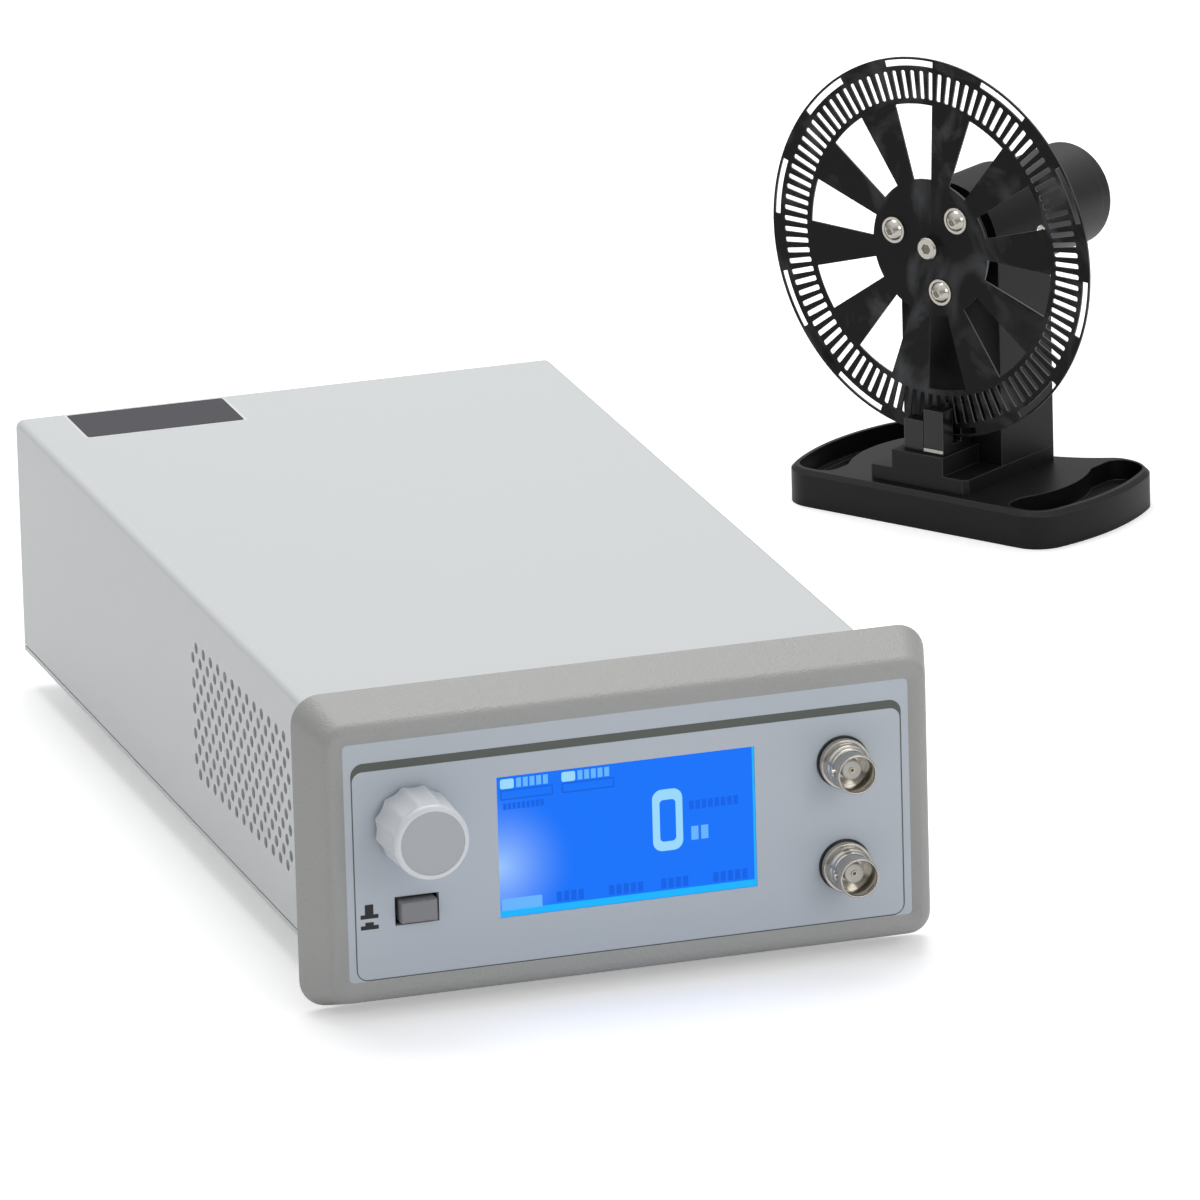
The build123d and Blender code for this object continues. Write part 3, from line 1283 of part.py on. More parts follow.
def slotted_sensor(x, top):
    """A slotted sensor: two arms on a web, with an eye in each arm facing the other."""
    low = step_top()
    body = block(x - SENSOR_W / 2, x + SENSOR_W / 2, -SENSOR_DEPTH / 2, SENSOR_DEPTH / 2, low, top)
    body -= block(x - SENSOR_W / 2, x + SENSOR_W / 2, -SENSOR_GAP / 2, SENSOR_GAP / 2,
                  low + SENSOR_WEB, top)
    eye = centred(x, top - EYE_DROP, EYE_W, EYE_H, -SENSOR_GAP / 2 - EYE_DEPTH,
                  SENSOR_GAP / 2 + EYE_DEPTH)
    return body - eye


def outer_sensor():
    """Sensor that reads the rim windows."""
    return slotted_sensor(OUTER_SENSOR_X, OUTER_SENSOR_TOP)


def inner_sensor():
    """Taller sensor that reads the fine slots."""
    return slotted_sensor(INNER_SENSOR_X, INNER_SENSOR_TOP)


CONTROLLER = {
    "cover": cover,
    "chassis": chassis,
    "rear_panel": rear_panel,
    "rubber_feet": rubber_feet,
    "foot_screws": foot_screws,
    "case_screws": case_screws,
    "bezel": bezel,
    "front_panel": front_panel,
    "display_window": display_window,
    "display_module": display_module,
    "knob": knob,
    "knob_cap": knob_cap,
    "encoder_body": encoder_body,
    "encoder_nut": encoder_nut,
    "encoder_washer": encoder_washer,
    "encoder_shaft": encoder_shaft,
    "encoder_plunger": encoder_plunger,
    "power_button": power_button,
    "button_rod": button_rod,
    "power_switch": power_switch,
    "bnc_shells": bnc_shells,
    "bnc_cores": bnc_cores,
    "bnc_contacts": bnc_contacts,
    "bnc_rings": bnc_rings,
    "bnc_nuts": bnc_nuts,
    "board_pillars": board_pillars,
    "main_board": main_board,
    "power_supply": power_supply,
    "power_inlet": power_inlet,
    "inlet_pins": inlet_pins,
    "fuse_drawer": fuse_drawer,
    "fuse": fuse,
    "voltage_selector": voltage_selector,
    "selector_slider": selector_slider,
    "head_socket": head_socket,
    "data_socket": data_socket,
}

HEAD = {
    "head_base": head_base,
    "sensor_foot": sensor_foot,
    "motor_post": motor_post,
    "side_screw": side_screw,
    "base_bolts": base_bolts,
    "signal_jack": signal_jack,
    "motor_can": motor_can,
    "motor_cap": motor_cap,
    "motor_bearings": motor_bearings,
    "motor_magnets": motor_magnets,
    "motor_core": motor_core,
    "motor_shaft": motor_shaft,
    "blade_hub": blade_hub,
    "blade": blade,
    "blade_washers": blade_washers,
    "blade_screws": blade_screws,
    "centre_screw": centre_screw,
    "outer_sensor": outer_sensor,
    "inner_sensor": inner_sensor,
}


def write_set():
    """Write every sub-part in its place in the set."""
    os.makedirs("parts", exist_ok=True)
    controller_place = Pos(-SET_CENTRE_X, -SET_CENTRE_Y, 0)
    head_place = controller_place * Pos(HEAD_X, HEAD_Y, 0) * Rot(0, 0, HEAD_TURN)
    for name, make in CONTROLLER.items():
        export_step(controller_place * make(), f"parts/{name}.step")
    for name, make in HEAD.items():
        export_step(head_place * make(), f"parts/{name}.step")


write_set()
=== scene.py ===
# %% [markdown]
# # Optical chopper set
# An optical chopper cuts a beam of light into pulses. This set has two units: a controller in a
# folded steel case, and a head whose motor spins a slotted blade across the beam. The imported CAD
# model is the fixed frame of this scene. The script gives each of its pieces a surface, and makes
# again those whose curves matter to the eye: the cover with its vents, the moulded bezel, the
# fluted knob, the connectors, the blade, the lit display and the printing. Every new piece takes
# its place from the frame, so the picture and the moving model agree.

# %% Load the frame
import json
import math

import bmesh
import bpy
import numpy as np
from mathutils import Matrix, Vector

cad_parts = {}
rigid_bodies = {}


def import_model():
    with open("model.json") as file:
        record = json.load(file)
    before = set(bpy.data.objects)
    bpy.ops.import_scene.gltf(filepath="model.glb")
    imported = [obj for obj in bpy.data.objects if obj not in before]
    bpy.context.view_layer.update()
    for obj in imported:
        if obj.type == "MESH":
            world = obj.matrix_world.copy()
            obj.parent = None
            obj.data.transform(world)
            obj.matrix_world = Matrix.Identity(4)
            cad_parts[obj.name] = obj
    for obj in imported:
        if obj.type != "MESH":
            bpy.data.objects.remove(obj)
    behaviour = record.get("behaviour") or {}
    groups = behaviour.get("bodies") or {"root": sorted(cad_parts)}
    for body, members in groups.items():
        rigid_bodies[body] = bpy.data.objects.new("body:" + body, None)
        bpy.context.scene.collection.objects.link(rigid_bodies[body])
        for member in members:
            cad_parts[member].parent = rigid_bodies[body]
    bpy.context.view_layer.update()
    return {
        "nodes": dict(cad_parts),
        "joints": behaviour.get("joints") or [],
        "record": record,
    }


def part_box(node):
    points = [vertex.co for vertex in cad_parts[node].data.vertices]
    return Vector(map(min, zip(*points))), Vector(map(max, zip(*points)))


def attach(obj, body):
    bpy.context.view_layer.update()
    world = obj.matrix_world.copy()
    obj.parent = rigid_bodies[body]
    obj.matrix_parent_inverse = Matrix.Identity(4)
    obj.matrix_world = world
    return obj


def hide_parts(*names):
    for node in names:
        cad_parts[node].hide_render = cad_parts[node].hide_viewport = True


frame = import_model()
print("pieces in the frame:", len(frame["nodes"]))

# %% [markdown]
# ## Where the two units stand
# The units share only the surface that they stand on. New pieces could be given in metres of the
# whole set, but they are easier to read in millimetres from each unit's own zero, so `MM` and two
# small functions do the change. The controller's zero is the middle of the bezel's rear rim, on
# the floor. The head's is under the blade's centre, and its axes turn with the blade's shaft,
# whose direction the joint already holds.

# %% Axes of the controller and the head
MM = 0.001


def span(node):
    """Lowest and highest corner of a CAD node, in millimetres."""
    low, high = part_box(node)
    return np.array(low) / MM, np.array(high) / MM


bezel_low, bezel_high = span("bezel")
blade_low, blade_high = span("blade")
case_zero = np.array([(bezel_low[0] + bezel_high[0]) / 2, bezel_high[1], 0.0])
blade_zero = np.array([*((blade_low + blade_high) / 2)[:2], 0.0])
spin_axis = next(joint["axis"] for joint in frame["joints"] if joint["name"] == "blade_spin")
head_turn = math.atan2(-spin_axis[0], spin_axis[1])


def on_case(points):
    """Points of the controller, in its own millimetres, as metres of the set."""
    return (np.asarray(points, float) + case_zero) * MM


def on_head(points):
    """Points of the head, in its own millimetres, turned about Z and moved into the set."""
    points = np.asarray(points, float)
    across = points[..., 0] * math.cos(head_turn) - points[..., 1] * math.sin(head_turn)
    along = points[..., 0] * math.sin(head_turn) + points[..., 1] * math.cos(head_turn)
    return (np.stack([across, along, points[..., 2]], -1) + blade_zero) * MM


print("case origin", case_zero.round(1), "head origin", blade_zero.round(1),
      "head turn", round(math.degrees(head_turn), 1))

# %% [markdown]
# ## Surfaces from grids
# A mesh can be modelled by hand, face by face, but a shape that follows a rule is quicker and
# truer as a grid of points. Each row of the grid is one closed line, and quads join a row to the
# next. Points that fall together are merged, and the normals are then turned outwards.

# %% From a grid to a piece
MERGE = 0.00001  # metres; points nearer than this are one point


def grid_quads(count, size, loop):
    """Quads of a grid of closed rows: each joins two neighbours of a row to those of the next."""
    starts = np.arange(count if loop else count - 1)
    row, column = np.meshgrid(starts, np.arange(size), indexing="ij")
    after, beside = (row + 1) % count, (column + 1) % size
    return np.stack([row * size + column, row * size + beside,
                     after * size + beside, after * size + column], -1).reshape(-1, 4)


def piece(name, points, faces, material, body="housing", smooth=38):
    """A mesh with its normals outwards, smooth up to an angle, that rides on a body."""
    mesh = bpy.data.meshes.new(name)
    mesh.from_pydata(points.reshape(-1, 3).tolist(), [], faces)
    shape = bmesh.new()
    shape.from_mesh(mesh)
    bmesh.ops.remove_doubles(shape, verts=shape.verts, dist=MERGE)
    bmesh.ops.recalc_face_normals(shape, faces=shape.faces)
    shape.to_mesh(mesh)
    shape.free()
    mesh.materials.append(material)
    made = bpy.data.objects.new(name, mesh)
    bpy.context.scene.collection.objects.link(made)
    mesh.shade_smooth()
    mesh.set_sharp_from_angle(angle=math.radians(smooth))
    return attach(made, body)


def skin(name, rows, material, body="housing", loop=False, smooth=38):
    """One piece from rows of points: quads between rows, ends joined to each other or capped."""
    count, size = rows.shape[:2]
    faces = grid_quads(count, size, loop).tolist()
    if not loop:
        faces.append(list(range(size)))
        faces.append(list(range((count - 1) * size, count * size)))
    return piece(name, rows, faces, material, body, smooth)


print("quads of a capped tube with 3 rows of 8 points:", len(grid_quads(3, 8, False)))

# %% [markdown]
# ## Colours and nodes
# A screen's colour values aren't light: twice the value is more than twice the light. A renderer
# adds up light, so one function turns a hex value into the linear numbers that it needs. A second
# one adds any shader node with its settings, values and links, which keeps each finish short.

# %% Linear colour and a node helper
def linear(code):
    """sRGB hex to linear: low values divide by 12.92, the rest follow the 2.4 power curve."""
    channels = [int(code[index:index + 2], 16) / 255 for index in (1, 3, 5)]
    return [c / 12.92 if c <= 0.04045 else ((c + 0.055) / 1.055) ** 2.4 for c in channels] + [1.0]


def add(tree, kind, settings=None, values=None, links=None):
    """One shader node with its settings, its constant inputs and its incoming links."""
    node = tree.nodes.new(kind)
    for key, value in (settings or {}).items():
        setattr(node, key, value)
    for key, value in (values or {}).items():
        node.inputs[key].default_value = value
    for key, source in (links or {}).items():
        tree.links.new(source, node.inputs[key])
    return node


print("middle grey of a screen, as light:", round(linear("#808080")[0], 3))

# %% [markdown]
# ## What makes a surface look made
# No real surface is one flat colour. A moulding has grain, a machined edge is slightly round and
# worn, a sheet is more polished here than there, and a handled part has faint smears. Each could
# be a picture laid on the piece, but a pattern worked out in the piece's own space needs no
# unwrapping and stays sharp close up. All sizes are real ones, in millimetres.

# %% Blend one colour into another
def blend_to(tree, share, code):
    """Blend the surface's colour towards another by a share from 0 to 1."""
    target = tree.nodes["Principled BSDF"].inputs["Base Color"]
    mix = add(tree, "ShaderNodeMix", {"data_type": "RGBA"}, links={0: share})
    if target.is_linked:
        tree.links.new(target.links[0].from_socket, mix.inputs[6])
    else:
        mix.inputs[6].default_value = tuple(target.default_value)
    mix.inputs[7].default_value = linear(code)
    tree.links.new(mix.outputs[2], target)


print("made a helper that blends colours:", blend_to.__name__)

# %% [markdown]
# Every real edge is a little round and catches the light. Rounding it in the mesh takes many
# faces. The shader's bevel rounds only the normal, which is all that the light shows at this
# size, and the grain then tips that normal a little at each point.

# %% Rounded edges and grain
def relief(tree, place, grain_mm, bump_mm, edge_mm):
    """Rounded edges and then grain on the normal. Gives back the rounded normal by itself."""
    normal = soft = None
    if edge_mm:
        normal = soft = add(tree, "ShaderNodeBevel", {"samples": 6}, {"Radius": edge_mm * MM}).outputs[0]
    if grain_mm:
        noise = add(tree, "ShaderNodeTexNoise", values={"Scale": 1 / (grain_mm * MM), "Detail": 3.0},
                    links={"Vector": place.outputs["Object"]})
        bump = add(tree, "ShaderNodeBump", values={"Strength": 1.0, "Distance": bump_mm * MM},
                   links={"Height": noise.outputs[0]})
        if normal:
            tree.links.new(normal, bump.inputs["Normal"])
        normal = bump.outputs[0]
    if normal:
        tree.links.new(normal, tree.nodes["Principled BSDF"].inputs["Normal"])
    return soft


print("made a helper for edges and grain:", relief.__name__)

# %% [markdown]
# A sheet is rolled, etched and handled, so its polish drifts and it has faint marks. Clouds of
# noise about two centimetres wide give both: one cloud moves the roughness up and down, and the
# dense parts of another let a paler colour through.

# %% Uneven polish and smears
POLISH_MM = 1000 / 60  # patches of more and less polish
SMEAR_MM = 1000 / 45   # smears left by handling
SMEAR_SHARE = (0.48, 0.72)  # noise values between which a smear fades in


def polish(tree, place, rough, uneven):
    """Roughness that drifts by `uneven` to both sides of its middle value."""
    cloud = add(tree, "ShaderNodeTexNoise", values={"Scale": 1 / (POLISH_MM * MM), "Detail": 4.0},
                links={"Vector": place.outputs["Object"]})
    spread = add(tree, "ShaderNodeMapRange",
                 values={"To Min": rough - uneven, "To Max": rough + uneven},
                 links={"Value": cloud.outputs[0]})
    tree.links.new(spread.outputs[0], tree.nodes["Principled BSDF"].inputs["Roughness"])


def smears(tree, place, code):
    """Patches of another colour, where a distorted cloud is dense."""
    cloud = add(tree, "ShaderNodeTexNoise",
                values={"Scale": 1 / (SMEAR_MM * MM), "Detail": 5.0, "Distortion": 1.5},
                links={"Vector": place.outputs["Object"]})
    share = add(tree, "ShaderNodeMapRange",
                values={"From Min": SMEAR_SHARE[0], "From Max": SMEAR_SHARE[1]},
                links={"Value": cloud.outputs[0]})
    blend_to(tree, share.outputs[0], code)


print("patches of polish", round(POLISH_MM, 1), "mm, smears", round(SMEAR_MM, 1), "mm")

# %% [markdown]
# A dark coat wears thin along its edges, and its edges catch the light. So a paler colour is painted
# along each edge: partly wear, partly a painted highlight. Paint strokes on each edge would do it,
# but the rounded normal already knows where the edges are: it leans away from the face's own normal
# there.

# %% Worn edges with painted highlights
PALE_EDGE_LEAN = (0.995, 0.8)  # cosines between which a pale edge, partly wear and partly painted highlight, fades in


def wear_and_highlight_edges(tree, soft, code):
    """A pale edge, partly wear and partly painted highlight: the more the rounded normal n' leans from
    the flat normal n, so n . n' < 1.
    """
    flat = add(tree, "ShaderNodeNewGeometry")
    lean = add(tree, "ShaderNodeVectorMath", {"operation": "DOT_PRODUCT"},
               links={0: soft, 1: flat.outputs["Normal"]})
    share = add(tree, "ShaderNodeMapRange", values={"From Min": PALE_EDGE_LEAN[0], "From Max": PALE_EDGE_LEAN[1]},
                links={"Value": lean.outputs["Value"]})
    blend_to(tree, share.outputs[0], code)


print("an edge starts to pale at", round(math.degrees(math.acos(PALE_EDGE_LEAN[0]))), "degrees")

# %% [markdown]
# ## Surfaces and lit areas
# Blender's principled shader covers paint, plastic and metal with the same few values, so one
# function makes them all and calls the finishes above when it is asked to. A lit area gives off
# light of its own and hardly mirrors the room, so it has a function of its own.

# %% Surface and glow
def surface(name, code, metallic=0.0, rough=0.4, grain_mm=0.0, bump_mm=0.0, edge_mm=0.0,
            uneven=0.0, smear=None, edge=None, **values):
    """A principled surface with optional grain, soft edges, uneven polish, smears, and pale edges of
    wear with a painted highlight.
    """
    material = bpy.data.materials.new(name)
    material.use_nodes = True
    tree = material.node_tree
    shader = tree.nodes["Principled BSDF"]
    shader.inputs["Base Color"].default_value = linear(code)
    shader.inputs["Metallic"].default_value = metallic
    shader.inputs["Roughness"].default_value = rough
    for key, value in values.items():
        shader.inputs[key.replace("_", " ")].default_value = value
    place = add(tree, "ShaderNodeTexCoord")
    soft = relief(tree, place, grain_mm, bump_mm, edge_mm)
    if uneven:
        polish(tree, place, rough, uneven)
    if smear:
        smears(tree, place, smear)
    # pale edges: partly wear, partly a painted highlight that stands in for light on the edge
    if edge:
        wear_and_highlight_edges(tree, soft, edge)
    return material


def glow(name, code):
    """A lit area of the display: it gives off light of one colour, as bright as it is written."""
    material = bpy.data.materials.new(name)
    material.use_nodes = True
    shader = material.node_tree.nodes["Principled BSDF"]
    shader.inputs["Base Color"].default_value = linear("#050505")
    shader.inputs["Emission Color"].default_value = linear(code)
    shader.inputs["Emission Strength"].default_value = 1.0
    shader.inputs["Roughness"].default_value = 0.3
    shader.inputs["Specular IOR Level"].default_value = 0.1
    return material


print("makers of materials:", surface.__name__, glow.__name__)

# %% [markdown]
# ## Finishes of the controller
# Each finish is named for the material and the way that its surface was made. Metals have a
# metallic value of 1 and keep their usual IOR. The roughness says how wide a highlight spreads,
# from a mirror at 0 to chalk at 1.

# %% Paints, plastics and metals of the controller
LOOKS = {
    # Powder coat on folded steel: satin, with a very fine orange peel.
    "case_paint": surface("powder coated steel", "#D6D9DA", rough=0.42, grain_mm=0.5, bump_mm=0.01),
    # Moulded with a leather grain, drawn a little coarse so that it shows: dull, with soft glints.
    "bezel_moulding": surface("grained ABS moulding", "#A5A6A4", rough=0.42,
                              grain_mm=0.62, bump_mm=0.22),
    # Painted sheet: flat and satin, a little more polished in places.
    "panel_paint": surface("printed aluminium panel", "#BEC6CF", rough=0.45, uneven=0.04),
    # Blackened sheet behind the display: dark, with no mirror to it.
    "display_frame": surface("blackened steel frame", "#2A2B2C", rough=0.5),
    # Moulded against a polished tool: narrow, almost white highlights.
    "knob_plastic": surface("glossy moulded ABS", "#DFE2E6", rough=0.25),
    # Sprayed disc: matt, so that it stays grey beside the bright knob.
    "knob_face": surface("matt inlay disc", "#B4B8BD", rough=0.5, grain_mm=0.3, bump_mm=0.01),
    # Spark-eroded moulding: matt, with a soft light line along each edge.
    "button_plastic": surface("matt moulded button", "#8A8A8D", rough=0.5, edge_mm=0.3),
    # Nylon: nearly black, with a broad weak sheen.
    "black_plastic": surface("black nylon", "#17181A", rough=0.45, edge_mm=0.15),
    # Turned PTFE: a warm white that looks like wax.
    "white_plastic": surface("turned PTFE", "#D5D3CC", rough=0.4),
    # Rubber: almost no highlight.
    "foot_rubber": surface("moulded rubber", "#1C1D1E", rough=0.7, edge_mm=0.4),
    # Bright nickel on turned brass: mirror-like, with warm grey reflections.
    "nickel": surface("bright nickel plate", "#C2BEB6", metallic=1.0, rough=0.16, edge_mm=0.15),
    # Thin plating on the contacts: a pale, slightly warm metal.
    "gold": surface("plated contact", "#C9C2B0", metallic=1.0, rough=0.25),
    # Bright zinc on the screws: a cool grey mirror with soft edges.
    "steel": surface("zinc-plated steel", "#BDBEBF", metallic=1.0, rough=0.18, edge_mm=0.1),
    # Solder mask on a circuit board: green with a smooth shine.
    "board": surface("solder mask", "#1E5A34", rough=0.35),
    # Backlit glass: one clear blue, as bright as it is written. Its paler spot comes further down.
    "display_glass": glow("display backlight", "#1273FA"),
}
print("finishes of the controller:", len(LOOKS))

# %% [markdown]
# ## Finishes of the head
# Most of the head is black, and black on black shows its shape only through its edges and its
# sheen. So most of these finishes have smears, as the real ones do, or pale edges, which are
# partly wear and partly a painted highlight.

# %% Blacks of the head
LOOKS |= {
    # Bead blasted before it was anodised: satin, with pale grey edges that are partly wear and partly
    # painted highlight.
    "anodised": surface("black anodised aluminium", "#141415", metallic=0.2, rough=0.42,
                        grain_mm=0.2, bump_mm=0.01, edge_mm=0.4, edge="#505153",
                        Specular_IOR_Level=0.3),
    # Painted can of the motor: a little smoother and darker, with pale edges that are partly wear and
    # partly painted highlight.
    "motor_steel": surface("black painted steel can", "#161617", rough=0.45, edge_mm=0.4,
                           edge="#3C3D3F"),
    # Sintered magnet: dull dark grey, like fired clay.
    "magnet": surface("sintered magnet", "#3A3C3F", rough=0.6),
    # Etched and blackened sheet: semi-matt, with pale marks of handling.
    "blade_black": surface("blackened spring steel", "#0E0E0F", metallic=0.2, rough=0.38,
                           uneven=0.1, smear="#47484A", Specular_IOR_Level=0.2),
    # Moulded sensor bodies: smooth black, with bright edges that are partly wear and partly painted
    # highlight.
    "sensor_plastic": surface("moulded polycarbonate", "#0B0B0D", rough=0.3, edge_mm=0.3,
                              edge="#5A5B5D"),
}
print("finishes in all:", len(LOOKS))

# %% [markdown]
# ## The CAD pieces get their surfaces
# The record says which slot each piece belongs to, so one loop dresses them all, and a piece that
# is added to the model later is dressed as well.

# %% Dress the frame
for entry in frame["record"]["subparts"]:
    mesh = frame["nodes"][entry["node"]].data
    mesh.materials.clear()
    mesh.materials.append(LOOKS[entry["material_slot"]])

# %% [markdown]
# ## Cover with its round vents
# The cover is one steel sheet folded over the chassis, with a field of round holes punched in
# each side. The holes could be cut with a Boolean, but that leaves long thin faces round each of
# them, which shade badly. Here the field is laid like a brick wall: each brick is as wide as the
# hole pitch, as high as the row spacing, and has one round hole in its middle.

# %% Sizes of the cover and of its vent field
cover_low, cover_high = (corner - case_zero for corner in span("cover"))
SHEET = 1.2         # thickness of the steel
BEND_R = 2.0        # outside radius of the two folds
VENT_D = 2.95
VENT_PITCH = 6.3    # from hole to hole along a row
VENT_DROP = 3.23    # from row to row
VENT_ROWS = 11
VENT_COLUMNS = 13   # every second row starts half a pitch further forward and has one more
VENT_FRONT = 34.8   # first hole of the top row, behind the bezel's rear rim
VENT_TOP = cover_high[2] - 12.6
VENT_LOW = VENT_TOP - (VENT_ROWS - 1) * VENT_DROP
FIELD = (VENT_FRONT - VENT_PITCH, VENT_FRONT + VENT_COLUMNS * VENT_PITCH,
         VENT_LOW - VENT_DROP / 2, VENT_TOP + VENT_DROP / 2)
print("vent field from", FIELD[0], "to", round(FIELD[1], 1), "mm behind the rim")

# %% [markdown]
# One brick is made first. It is a strip of four closed lines: its outline outside, the hole
# outside, the hole inside and its outline inside. The hole has as many points as the outline, so
# quads join them.

# %% One brick with its hole
BRICK_STEPS = (4, 2)  # points along a brick and up it
HOLE_START = 210      # degrees; the hole's first point looks to the brick's lower left corner


def box_line(across, up, wide, high):
    """Points round a rectangle of these half sizes: `wide` steps along it and `high` up it."""
    x, y = np.linspace(-across, across, wide + 1)[:-1], np.linspace(-up, up, high + 1)[:-1]
    return np.concatenate([
        np.stack([x, np.full(wide, -up)], 1), np.stack([np.full(high, across), y], 1),
        np.stack([-x, np.full(wide, up)], 1), np.stack([np.full(high, -across), -y], 1)])


def pierced_cell(outline, hole, front, back):
    """A bit of sheet with one hole, as lines of (x, y, depth): outline, hole, hole, outline."""
    rings = ((outline, front), (hole, front), (hole, back), (outline, back))
    return np.array([np.column_stack([line, np.full(len(line), depth)]) for line, depth in rings])


print("points round a brick:", len(box_line(1, 1, *BRICK_STEPS)))

# %% [markdown]
# The brick's points are worked out once. A list of shifts then puts a copy of them at every place
# of the field, in one sum of two arrays, and the quads of the first brick are counted on.

# %% The wall of bricks
def repeated_faces(cells, loop=False):
    """The quads of one cell, once for each copy of it."""
    copies, count, size = cells.shape[:3]
    quads = grid_quads(count, size, loop)
    return (quads[None] + count * size * np.arange(copies)[:, None, None]).reshape(-1, 4).tolist()


def vent_bricks(wall, inside):
    """All bricks of one wall, between its outer and inner face."""
    outline = box_line(VENT_PITCH / 2, VENT_DROP / 2, *BRICK_STEPS)
    angles = math.radians(HOLE_START) + np.arange(len(outline)) * 2 * math.pi / len(outline)
    hole = np.stack([np.cos(angles), np.sin(angles)], 1) * VENT_D / 2
    brick = np.roll(pierced_cell(outline, hole, wall, inside), 1, axis=2)
    shifts = [(0, VENT_FRONT + (column - row % 2 / 2) * VENT_PITCH, VENT_TOP - row * VENT_DROP)
              for row in range(VENT_ROWS) for column in range(VENT_COLUMNS + row % 2)]
    return brick[None] + np.array(shifts)[:, None, None, :]


print("bricks per side:", len(vent_bricks(0.0, SHEET)))

# %% [markdown]
# The rest of the wall is flat and square, so plain boxes are enough for it. Blocks on the display
# are boxes too, and several of them make one piece.

# %% Plain boxes
def boxes(name, ranges, material):
    """One piece of plain boxes on the controller, each (x0, x1, y0, y1, z0, z1)."""
    corners = np.array([[(x, y, z) for x in box[:2] for y, z in
                         ((box[2], box[4]), (box[3], box[4]), (box[3], box[5]), (box[2], box[5]))]
                        for box in ranges])
    sides = grid_quads(2, 4, False).tolist() + [[0, 1, 2, 3], [4, 5, 6, 7]]
    faces = [[8 * index + corner for corner in face]
             for index in range(len(ranges)) for face in sides]
    return piece(name, on_case(corners), faces, material, smooth=20)


print("quads of a box:", len(grid_quads(2, 4, False)) + 2)

# %% [markdown]
# The top with its two folds is one bent strip. On each side, plain boxes close the wall round the
# bricks: before and behind the field, under it, and the half bricks at the ends of its rows.

# %% Make the cover
BEND_STEPS = 8


def cover_top():
    """Top and folds: a quarter circle on each side, outside at BEND_R and inside at BEND_R - SHEET."""
    half, wall_top = cover_high[0], FIELD[3]
    angles = np.linspace(0, math.pi / 2, BEND_STEPS)
    centre = np.array([half - BEND_R, cover_high[2] - BEND_R])
    quarter = np.stack([np.cos(angles), np.sin(angles)], 1)
    outer = np.concatenate([[(half, wall_top)], centre + BEND_R * quarter])
    inner = np.concatenate([[(half - SHEET, wall_top)], centre + (BEND_R - SHEET) * quarter])
    mirror = np.array([-1, 1])
    line = np.concatenate([outer, outer[::-1] * mirror, inner * mirror, inner[::-1]])
    rows = np.array([np.stack([line[:, 0], np.full(len(line), y), line[:, 1]], 1)
                     for y in (cover_low[1], cover_high[1])])
    skin("cover_top", on_case(rows), LOOKS["case_paint"])


def cover_side(name, side):
    """One wall: the bricks of its vent field and the plain boxes round them."""
    front, back, low = cover_low[1], cover_high[1], cover_low[2]
    y0, y1, z0, z1 = FIELD
    wall, inside = side * cover_high[0], side * (cover_high[0] - SHEET)
    bricks = vent_bricks(wall, inside)
    vents = piece(f"cover_vents_{name}", on_case(bricks), repeated_faces(bricks), LOOKS["case_paint"])
    step = VENT_PITCH / 2
    gaps = [(front, y0, z0, z1), (y1, back, z0, z1), (front, back, low, z0)]
    for row in range(0, VENT_ROWS, 2):
        foot = VENT_TOP - (row + 0.5) * VENT_DROP
        gaps += [(y0, y0 + step, foot, foot + VENT_DROP), (y1 - step, y1, foot, foot + VENT_DROP)]
    plain = boxes(f"cover_wall_{name}", [(wall, inside, *gap) for gap in gaps],
                  LOOKS["case_paint"])
    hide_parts("cover")


cover_top()
cover_side("left", -1)
cover_side("right", 1)
print("cover", (cover_high - cover_low).round(1), "mm")

# %% [markdown]
# ## Bezel
# The bezel is a hollow moulding that holds the panel: rear rim, leaning flank, rounded crest,
# bevel into the mouth, and back along the case. It could be a box with bevelled edges, but the
# flank leans and the corner radius changes on the way. So it is one profile carried round a
# rounded rectangle. The crest is a quadratic Bezier curve, and the light runs over it unbroken.

# %% Sizes of the bezel
CASE_SIZE = span("cover")[1][0] - span("cover")[0][0]
MID_Z = (bezel_high[2] + bezel_low[2]) / 2
CREST_OUT = bezel_high[1] - bezel_low[1]
PANEL_FACE = span("front_panel")[0][1] - case_zero[1]
# Width, height and corner radius of the rounded rectangle at each stage of the profile.
RIM = (bezel_high[0] - bezel_low[0], bezel_high[2] - bezel_low[2], 7.0)
CREST = (148.7, 68.3, 4.6)
MOUTH = (140.2, 59.0, 1.2)
SEAT = (CASE_SIZE + 0.4, 61.2, 2.0)
ROUND = 2.4       # how far back along the flank the crest's round starts
FLANK_R = 5.6     # corner radius there
LIP = 4.6         # the crest's round ends this much wider and higher than the mouth
LIP_R = 3.0       # corner radius there
RIM_LAND = 1.0    # depth of the rim's first row, which keeps its edge crisp
CREST_STEPS = 9
print("bezel", RIM[0].round(1), "x", RIM[1].round(1), "x", CREST_OUT.round(1), "mm")

# %% [markdown]
# A rounded rectangle has only four sizes here: width, height, corner radius and depth. A list of
# such rows, from the rim round to the seat, is the whole moulding.

# %% Rounded rectangles that face the front
CORNER_STEPS = 9


def rounded_line(width, height, radius, steps=CORNER_STEPS):
    """Rounded rectangle: four quarter circles of one radius, each about its own corner centre."""
    angles = np.linspace(0, math.pi / 2, steps)
    quarters = []
    for turn, (side_x, side_z) in enumerate(((1, 1), (-1, 1), (-1, -1), (1, -1))):
        around = angles + turn * math.pi / 2
        centre = np.array([side_x * (width / 2 - radius), side_z * (height / 2 - radius)])
        quarters.append(centre + radius * np.stack([np.cos(around), np.sin(around)], 1))
    return np.concatenate(quarters)


